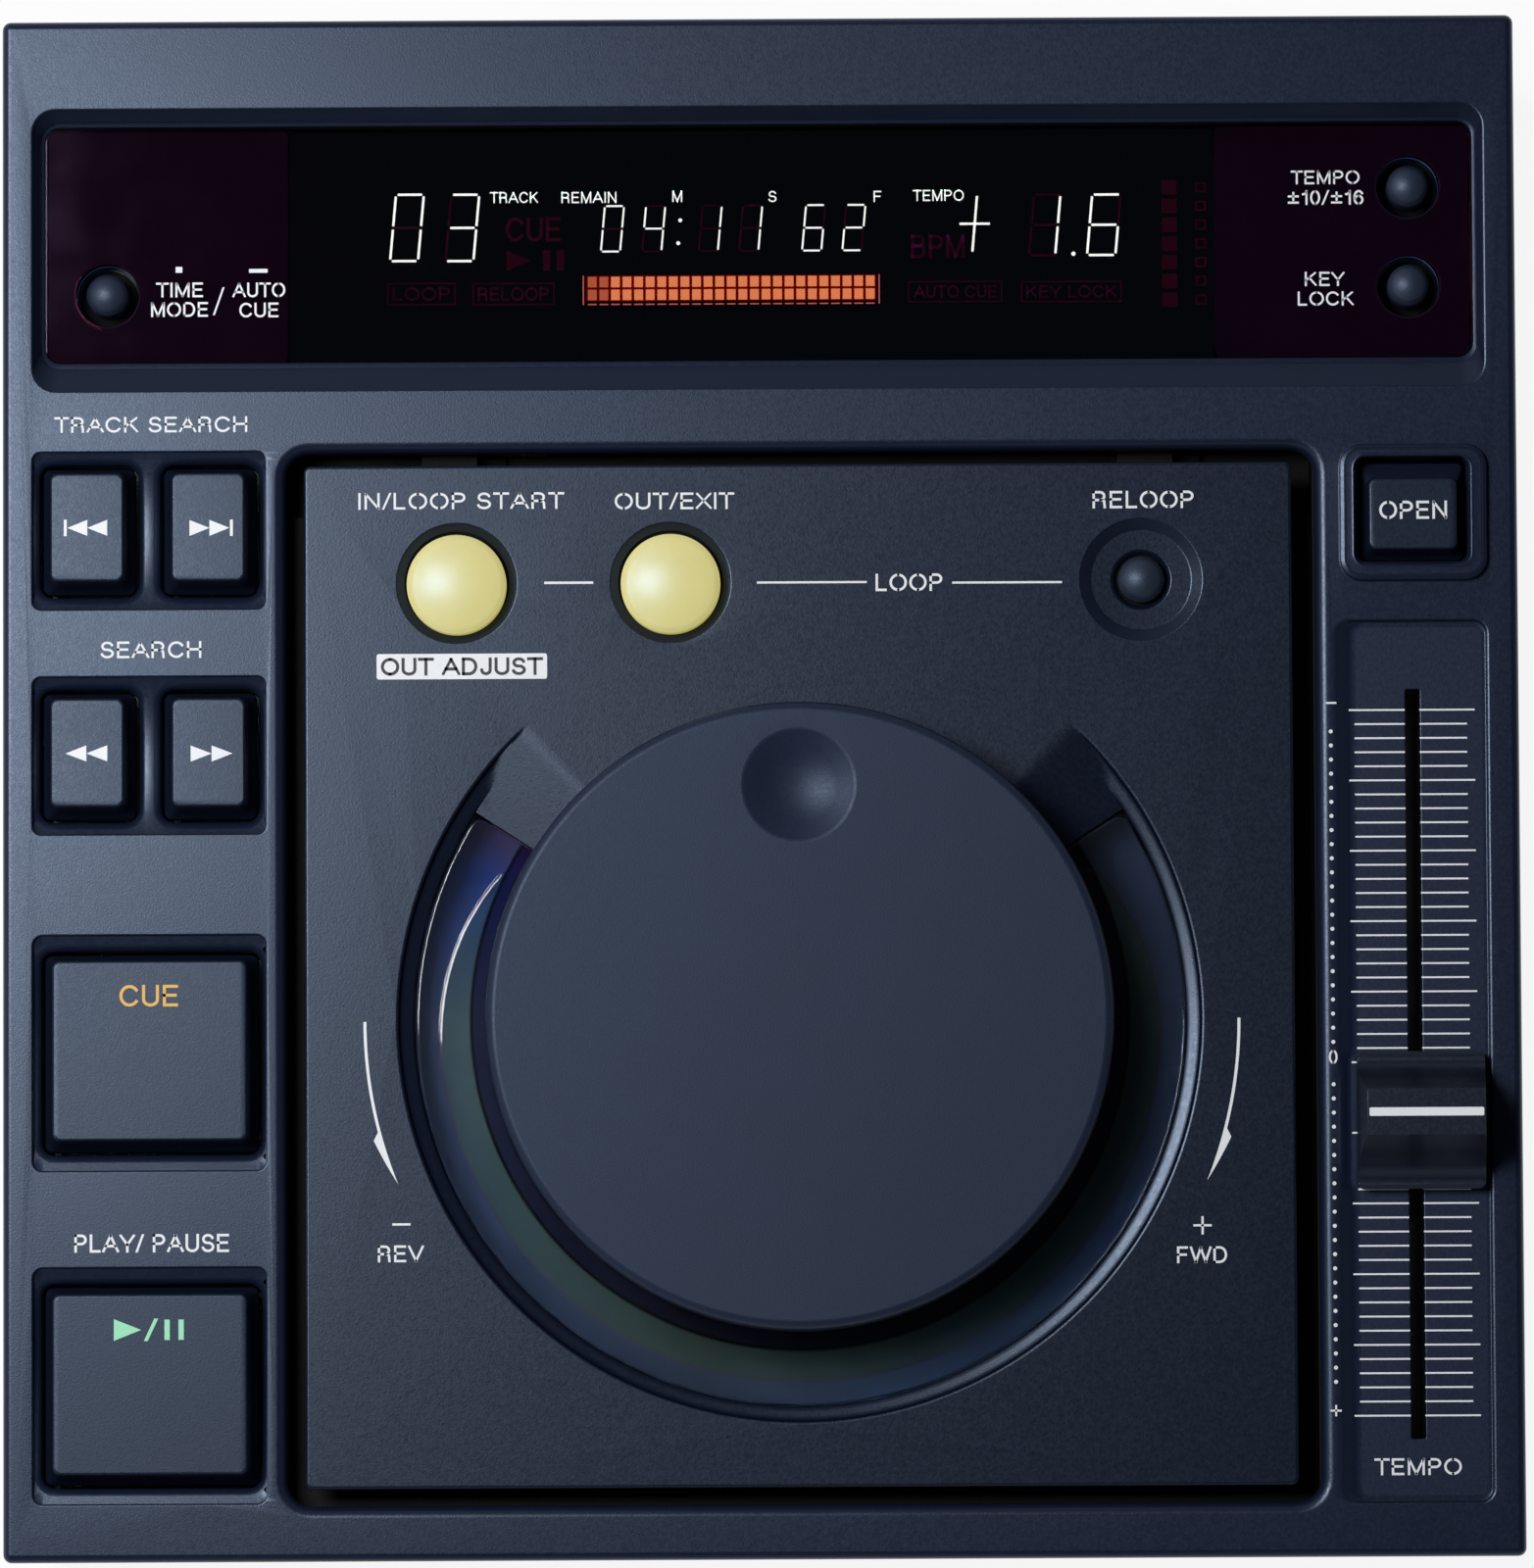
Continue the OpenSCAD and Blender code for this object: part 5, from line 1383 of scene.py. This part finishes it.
# Each letter: its width, then the lines that draw it, in shares of the height of a capital
LETTERS = {
    " ": (0.1,),
    "A": (0.84, [(0, 0), (0.42, 1)], [(0.42, 1), (0.84, 0)], [(0.15, 0.33), (0.69, 0.33)]),
    "B": (0.61, STEM, lobe(0.34, 0.53, 1, 0.22), lobe(0.36, 0, 0.53, 0.25)),
    "C": (0.76, bow(0.4, 0.5, 0.4, 0.5, 38, 322, 16)),
    "D": (0.68, STEM, lobe(0.3, 0, 1, 0.38)),
    "E": (0.56, [(0.56, 1), (0, 1), (0, 0), (0.56, 0)], [(0, 0.52), (0.5, 0.52)]),
    "F": (0.52, [(0.52, 1), (0, 1), (0, 0)], [(0, 0.51), (0.45, 0.51)]),
    "H": (0.66, STEM, [(0.66, 0), (0.66, 1)], [(0, 0.52), (0.66, 0.52)]),
    "I": (0.0, STEM),
    "J": (0.46, [(0.46, 1)] + bow(0.23, 0.25, 0.23, 0.25, 0, -180)),
    "K": (0.66, STEM, [(0.62, 1), (0, 0.38)], [(0.24, 0.6), (0.66, 0)]),
    "L": (0.48, [(0, 1), (0, 0), (0.48, 0)]),
    "M": (0.8, STEM, [(0.02, 1), (0.4, 0)], [(0.4, 0), (0.78, 1)], [(0.8, 0), (0.8, 1)]),
    "N": (0.66, STEM, [(0.02, 1), (0.64, 0)], [(0.66, 0), (0.66, 1)]),
    "O": (0.84, *ring(0.42, 0.5, 0.42, 0.5)),
    "P": (0.58, STEM, lobe(0.32, 0.47, 1, 0.26)),
    "R": (0.62, STEM, lobe(0.33, 0.48, 1, 0.25),
          [(0.36, 0.48)] + bow(0.42, 0.33, 0.16, 0.15, 70, 0, 4) + [(0.6, 0)]),
    "S": (0.62, bow(0.31, 0.745, 0.27, 0.255, 20, 240, 12) + bow(0.31, 0.255, 0.3, 0.26, 70, -165, 12)),
    "T": (0.7, [(0, 1), (0.7, 1)], [(0.35, 0), (0.35, 1)]),
    "U": (0.64, [(0, 1)] + bow(0.32, 0.3, 0.32, 0.3, 180, 360, 12) + [(0.64, 1)]),
    "V": (0.78, [(0, 1), (0.39, 0)], [(0.39, 0), (0.78, 1)]),
    "W": (1.16, [(0, 1), (0.29, 0)], [(0.29, 0), (0.58, 1)], [(0.58, 1), (0.87, 0)],
          [(0.87, 0), (1.16, 1)]),
    "X": (0.72, [(0, 0), (0.7, 1)], [(0.02, 1), (0.72, 0)]),
    "Y": (0.76, [(0, 1), (0.38, 0.42)], [(0.76, 1), (0.38, 0.42)], [(0.38, 0), (0.38, 0.42)]),
    "0": (0.5, *ring(0.25, 0.5, 0.25, 0.5)),
    "1": (0.22, [(0, 0.76), (0.14, 0.8), (0.2, 0.95)], [(0.22, 0), (0.22, 1)]),
    "6": (0.5, *ring(0.26, 0.31, 0.24, 0.31), bow(0.27, 0.5, 0.27, 0.5, 40, 190, 10)),
    "/": (0.34, [(0, -0.05), (0.34, 1.05)]),
    "\u00b1": (0.56, [(0, 0.1), (0.56, 0.1)], [(0, 0.6), (0.56, 0.6)], [(0.28, 0.32), (0.28, 0.88)]),
}


def print_plate():
    marks = Marks(PLATE_Z)
    marks.each(marks.words, [("TRACK SEARCH", -87.22, 52.25, 27.65, 2.26),
                             ("SEARCH", -87.24, 19.88, 14.43, 2.4),
                             ("PLAY/ PAUSE", -87.23, -65.04, 22.06, 2.6)])
    # Signs and dots left of the fader, with a 0 where the tempo is unchanged
    zero_y = -39.28
    marks.words("0", 81.47, zero_y, 1.25, 2.0)
    first, pitch, count = 7.31, 2.02, 47
    for i in range(count):
        y = first - i * pitch
        if abs(y - zero_y) > 2.1:
            marks.dot(81.5, y, 0.58)
    marks.each(marks.bar, [(81.59, 11.39, 1.5, 0.28), (81.48, -89.71, 1.6, 0.28),
                           (81.48, -89.71, 0.28, 1.6)])
    marks.finish("plate_print", "white_print", "casing")


def print_fader():
    """The tempo scale on its film: 51 marks on both sides of the slot, every fifth one long."""
    film = Marks(FADER_FLOOR)
    film_top = FADER_FLOOR + PRINT / 2
    x, y, width, depth, radius = grown(FADER_FIELD, -1.0)
    outline = rounded([x + 1.0, y, width - 1.6, depth, radius])
    film.prism(outline, FADER_FLOOR, film_top, [rounded(grown(FADER_SLOT, 0.2))])
    film.finish("tempo_film", "film_plastic", "casing", "casing_plastic")
    marks = Marks(film_top)
    first, pitch, count, stroke = 10.34, 2.016, 51, 0.25
    for i in range(count):
        left, right = (84.9, 101.0) if i % 5 else (83.7, 102.1)
        for x0, x1 in [(left, 92.1), (94.2, right)]:
            marks.bar((x0 + x1) / 2, first - i * pitch, x1 - x0, stroke)
    marks.words("TEMPO", 93.09, -97.73, 12.45, 2.4)
    marks.finish("tempo_scale", "white_print", "casing")


def print_lid():
    marks = Marks(LID_TOP)
    marks.each(marks.words, [
        ("IN/LOOP START", -42.75, 41.04, 29.5, 2.4), ("OUT/EXIT", -12.21, 40.88, 17.13, 2.4),
        ("RELOOP", 54.90, 40.75, 14.48, 2.5), ("LOOP", 21.31, 29.02, 9.55, 2.5),
        ("REV", -51.69, -66.72, 6.57, 2.4), ("FWD", 62.55, -67.41, 7.14, 2.4)])
    marks.each(marks.bar, [
        (-27.41, 29.20, 7.02, 0.35), (7.40, 29.09, 15.73, 0.3), (35.35, 28.94, 15.73, 0.3),
        (-51.61, -62.53, 2.6, 0.32), (62.65, -63.22, 2.6, 0.32), (62.65, -63.22, 0.32, 2.6)])
    for side in (-1, 1):
        turning_arrow(marks, side)
    marks.finish("lid_print", "white_print", "lid")
    label = Marks(LID_TOP)
    label.flat(rounded([-42.74, 17.26, 24.4, 3.65, 0.3], 2))
    label.finish("adjust_label", "white_print", "lid")
    text = Marks(LID_TOP + PRINT)
    text.words("OUT ADJUST", -42.74, 17.26, 23.2, 2.55, 0.17)
    text.finish("adjust_words", "dark_print", "lid", "black_plastic")


def turning_arrow(marks, side):
    """A thin arc round the dial that ends in a half arrowhead."""
    x0, y0, radius = 5.66, -33.6, 62.4
    stroke, turn, barb_turn, barb = 0.42, 21.9, 15.2, 0.95
    inner = []
    outer = []
    steps = 24
    for i in range(steps + 1):
        degrees = turn * i / steps
        angle = math.radians(degrees)
        width = stroke
        if degrees > barb_turn:
            width = (stroke + barb) * (turn - degrees) / (turn - barb_turn)
        for line, r in [(inner, radius - stroke / 2), (outer, radius - stroke / 2 + width)]:
            line.append((x0 + side * r * math.cos(angle), y0 - r * math.sin(angle)))
    outline = inner + outer[-2::-1]
    marks.flat(outline if side < 0 else outline[::-1])


def print_word(key, text, x, y, width, height, ink):
    marks = Marks(node_box(key + "_button")[1].z)
    marks.words(text, x, y, width, height)
    marks.finish(key + "_word", ink, key + "_key")


def print_keys():
    for node, x, y, way, bar in [
            ("track_back", -96.63, 37.44, -1, True), ("track_forward", -78.54, 37.35, 1, True),
            ("search_back", -96.50, 5.05, -1, False), ("search_forward", -78.57, 4.95, 1, False)]:
        marks = Marks(node_box(node + "_button")[1].z)
        wide = 2.85 if bar else 3.0
        shift = -way * 0.3 if bar else 0.0
        for step in (-0.5, 0.5):
            marks.arrow(x + shift + step * wide, y, wide, 2.3, way)
        if bar:
            marks.bar(x + way * 2.85, y, 0.42, 2.36)
        marks.finish(node + "_sign", "white_print", node + "_key")
    print_word("cue", "CUE", -87.62, -29.69, 8.39, 3.1, "amber_print")
    marks = Marks(node_box("play_button")[1].z)
    y = -77.38
    marks.arrow(-90.7, y, 3.9, 3.1, 1)
    marks.each(marks.bar, [(-87.35, y, 0.55, 3.2, 1.5), (-85.05, y, 0.75, 2.9), (-83.05, y, 0.75, 2.9)])
    marks.finish("play_sign", "mint_print", "play_key")
    print_word("open", "OPEN", 93.56, 39.07, 9.71, 2.6, "white_print")
    marks = Marks(node_box("tempo_knob")[1].z)
    x, y, *_ = node_rect("tempo_knob", 0)
    marks.prism(rounded([x, y + 0.7, 16.2, 1.2, 0.2], 3), marks.z, marks.z + PRINT)
    marks.finish("knob_line", "white_print", "fader")


def print_window():
    marks = Marks(WINDOW_TOP)
    marks.each(marks.bar, [(-83.14, 74.53, 0.95, 0.85), (-71.76, 74.33, 2.67, 0.56),
                           (-77.45, 69.98, 0.28, 4.0, 1.4)])
    marks.each(marks.words, [
        ("TIME", -83.07, 71.63, 6.74, 2.12), ("MODE", -83.07, 68.81, 8.15, 2.12),
        ("AUTO", -71.69, 71.58, 7.59, 2.12), ("CUE", -71.69, 68.68, 5.62, 2.12),
        ("TEMPO", 81.36, 87.03, 9.87, 1.98), ("\u00b110/\u00b116", 81.40, 84.12, 10.85, 2.12),
        ("KEY", 81.17, 72.38, 5.7, 2.05), ("LOCK", 81.29, 69.55, 8.0, 2.05)])
    marks.finish("window_print", "white_print", "casing")


print_plate()
print_fader()
print_lid()
print_keys()
print_window()

# ---------------------------------------------------------------- back panel, feet and inner pieces

PANEL_SHEET = 1.5
REAR_Y = node_box("rear_panel")[0].y + PANEL_SHEET
JACK_SPREAD = 10


class RearMarks(Marks):
    """Marks and turned pieces on the back panel, drawn as seen from behind: across, up and outward."""

    def __init__(self):
        super().__init__(0)
        self.share = 1

    def flat(self, outline):
        self.prism(outline, 0, PRINT)

    def make(self, name, sharp=38, smooth=True):
        self.points = [(-across, REAR_Y + out, up) for across, up, out in self.points]
        return super().make(name, sharp, smooth)


def rear_place(node):
    """The middle of a node on the back panel, as seen from behind: across and up."""
    low, high = node_box(node)
    return -(low.x + high.x) / 2, (low.z + high.z) / 2


def print_rear():
    marks = RearMarks()
    letter = 2.4
    jacks, level = rear_place("output_jacks")
    rows = [("R", jacks - JACK_SPREAD, level - 8.5, 1.6), ("L", jacks + JACK_SPREAD, level - 8.5, 1.3),
            ("OUTPUT", jacks, level + 9.5, 11.4)]
    for side in (-1, 1):
        marks.bar(jacks + side * 11, level + 9.5, 6, 0.3)
        marks.bar(jacks + side * 14, level + 8.4, 0.3, 2.5)
    across, level = rear_place("control_jack")
    rows.append(("CONTROL", across, level - 8.5, 12.4))
    across, level = rear_place("switch_frame")
    rows += [("POWER", across, level + 16, 10.6), ("ON", across - 13, level + 6, 4.2),
             ("OFF", across - 13, level - 6, 5.2)]
    across, level = rear_place("ac_inlet")
    rows.append(("AC IN", across, level + 12.5, 9.0))
    for row in rows:
        marks.words(*row, letter)
    marks.finish("rear_print", "white_print", "casing")


def make_jack_rims():
    """The coloured ring of insulating plastic round the middle of each output jack."""
    across, level = rear_place("output_jacks")
    inner, outer, depth = 1.72, 2.66, 7.6
    for name, side, finish in [("left", 1, "white_plastic"), ("right", -1, "red_plastic")]:
        form = RearMarks()
        form.tube(across + side * JACK_SPREAD, level, inner, outer, 0, depth)
        dress(form.make(f"jack_ring_{name}"), "casing", "white_plastic", finish=finish)


print_rear()
make_jack_rims()
for node, slot, body, width, segments in [
        ("rear_panel", "painted_steel", "casing", 0.3, 2), ("output_jacks", "brass", "casing", 0.25, 2),
        ("control_jack", "black_plastic", "casing", 0.3, 2), ("ac_inlet", "black_plastic", "casing", 0.5, 3),
        ("switch_frame", "black_plastic", "casing", 0.5, 3),
        ("switch_rocker", "black_plastic", "rocker", 0.4, 3), ("lid_liner", "inner_plastic", "lid", 0.3, 2),
        ("disc_well", "inner_plastic", "casing", 0.4, 2), ("clamp_puck", "inner_plastic", "clamp", 0.3, 2),
        ("base_tray", "painted_steel", "casing", 0.4, 2)]:
    refine(node, slot, body, width, segments)
for corner in ("front_left", "front_right", "rear_left", "rear_right"):
    refine("foot_" + corner, "rubber", "casing", 0.4)

# ---------------------------------------------------------------- what the display shows

TUBE_Z = node_box("display_tube")[1].z + 0.05
THICK = 0.33
# The width, height and stroke of each group's digits
TRACK_SIZE = [5.2, 9.9, THICK]
TIME_SIZE = [3.6, 6.8, 0.25]
TEMPO_SIZE = [5.2, 9.05, THICK]
# Each digit of the time: its lit and its unlit segments and its place
TIME = [("abcdef", "g", -20.92), ("fgbc", "aed", -15.01), ("bc", "afged", -6.9), ("bc", "afged", -1.1),
        ("afgedc", "b", 7.93), ("abged", "fc", 13.7)]
TIME_Y = 80.02


def show_lit():
    white = Marks(TUBE_Z)
    for lit, _, x in TIME:
        white.digit(lit, x, TIME_Y, *TIME_SIZE)
    white.each(white.digit, [("abcdef", -50.38, 80.3, *TRACK_SIZE), ("abgcd", -42.44, 80.26, *TRACK_SIZE),
                             ("bc", 41.2, 80.28, 4.6, 9.05, THICK), ("afgedc", 49.53, 80.24, *TEMPO_SIZE)])
    for rise in (-1.65, 1.65):
        white.dot(-11.35 + rise * LEAN, 79.55 + rise, 0.55)
    white.bar(31.02, 80.48, 4.36, THICK)
    white.bar(31.02, 80.48, THICK, 8.0, 8.0 * LEAN)
    white.dot(45.14, 76.09, 0.6)
    for text, x, y, width in [("TRACK", -35.04, 84.61, 6.89), ("REMAIN", -24.28, 84.56, 7.88),
                              ("M", -11.61, 84.64, 1.41), ("S", 2.04, 84.57, 1.2), ("F", 17.10, 84.50, 1.1),
                              ("TEMPO", 25.83, 84.60, 7.32)]:
        white.words(text, x, y, width, 1.6, 0.12)
    white.finish("display_figures", "lit_white", "casing", "tube_glass")


def show_cells():
    """The bar of lit cells, the first two dim, on a faintly lit ground and in a fine frame."""
    cells, dim, outline = [Marks(TUBE_Z) for _ in range(3)]
    ground = Marks(TUBE_Z - PRINT)
    x0, y0, columns, pitch, width, height = -3.93, 71.17, 25, 1.66, 1.25, 1.5
    for column in range(columns):
        x = x0 + (column - (columns - 1) / 2) * pitch
        for row in (-0.93, 0.93):
            (dim if column < 2 else cells).bar(x, y0 + 0.25 + row, width, height)
        outline.bar(x, y0 - 2.05, width, 0.16)
    for side in (-1, 1):
        outline.bar(x0 + side * 21.2, y0, 0.16, 4.2)
    ground.bar(x0, y0 + 0.25, columns * pitch, 3.7)
    for marks, name, finish in [(cells, "cells", "lit_orange"), (dim, "dim_cells", "lit_dim"),
                                (ground, "cell_ground", "lit_back"), (outline, "cell_frame", "lit_frame")]:
        marks.finish("display_" + name, finish, "casing", "tube_glass")


def show_unlit():
    ghost = Marks(TUBE_Z)
    ghost.words("CUE", -32.31, 80.0, 7.88, 3.53)
    ghost.words("BPM", 25.72, 77.25, 7.74, 3.39)
    ghost.arrow(-34.4, 75.48, 3.4, 2.97, 1)
    ghost.each(ghost.bar, [(-30.4, 75.48, 1.0, 2.97), (-28.4, 75.48, 1.0, 2.97)])
    for text, x, y, width, height in [
            ("LOOP", -48.36, 70.76, 9.84, 3.25), ("RELOOP", -35.15, 70.69, 11.81, 3.25),
            ("AUTO CUE", 28.15, 70.73, 13.51, 3.11), ("KEY LOCK", 44.82, 70.65, 14.5, 3.11)]:
        ghost.frame(x, y, width, height, 0.22)
        ghost.words(text, x, y, width - 1.6, height - 1.3, 0.16)
    for _, unlit, x in TIME:
        ghost.digit(unlit, x, TIME_Y, *TIME_SIZE)
    ghost.each(ghost.digit, [("g", -50.38, 80.3, *TRACK_SIZE), ("ef", -42.44, 80.26, *TRACK_SIZE),
                             ("afged", 41.2, 80.26, *TEMPO_SIZE), ("b", 49.53, 80.26, *TEMPO_SIZE)])
    for row in range(7):
        y = 85.6 - row * 2.7
        ghost.bar(58.9, y, 2.2, 2.1)
        ghost.frame(63.4, y, 1.6, 1.5, 0.3)
    # The unlit segments get a faint painted glow
    ghost.finish("display_unlit", "unlit_glow_paint", "casing", "tube_glass")


show_lit()
show_cells()
show_unlit()
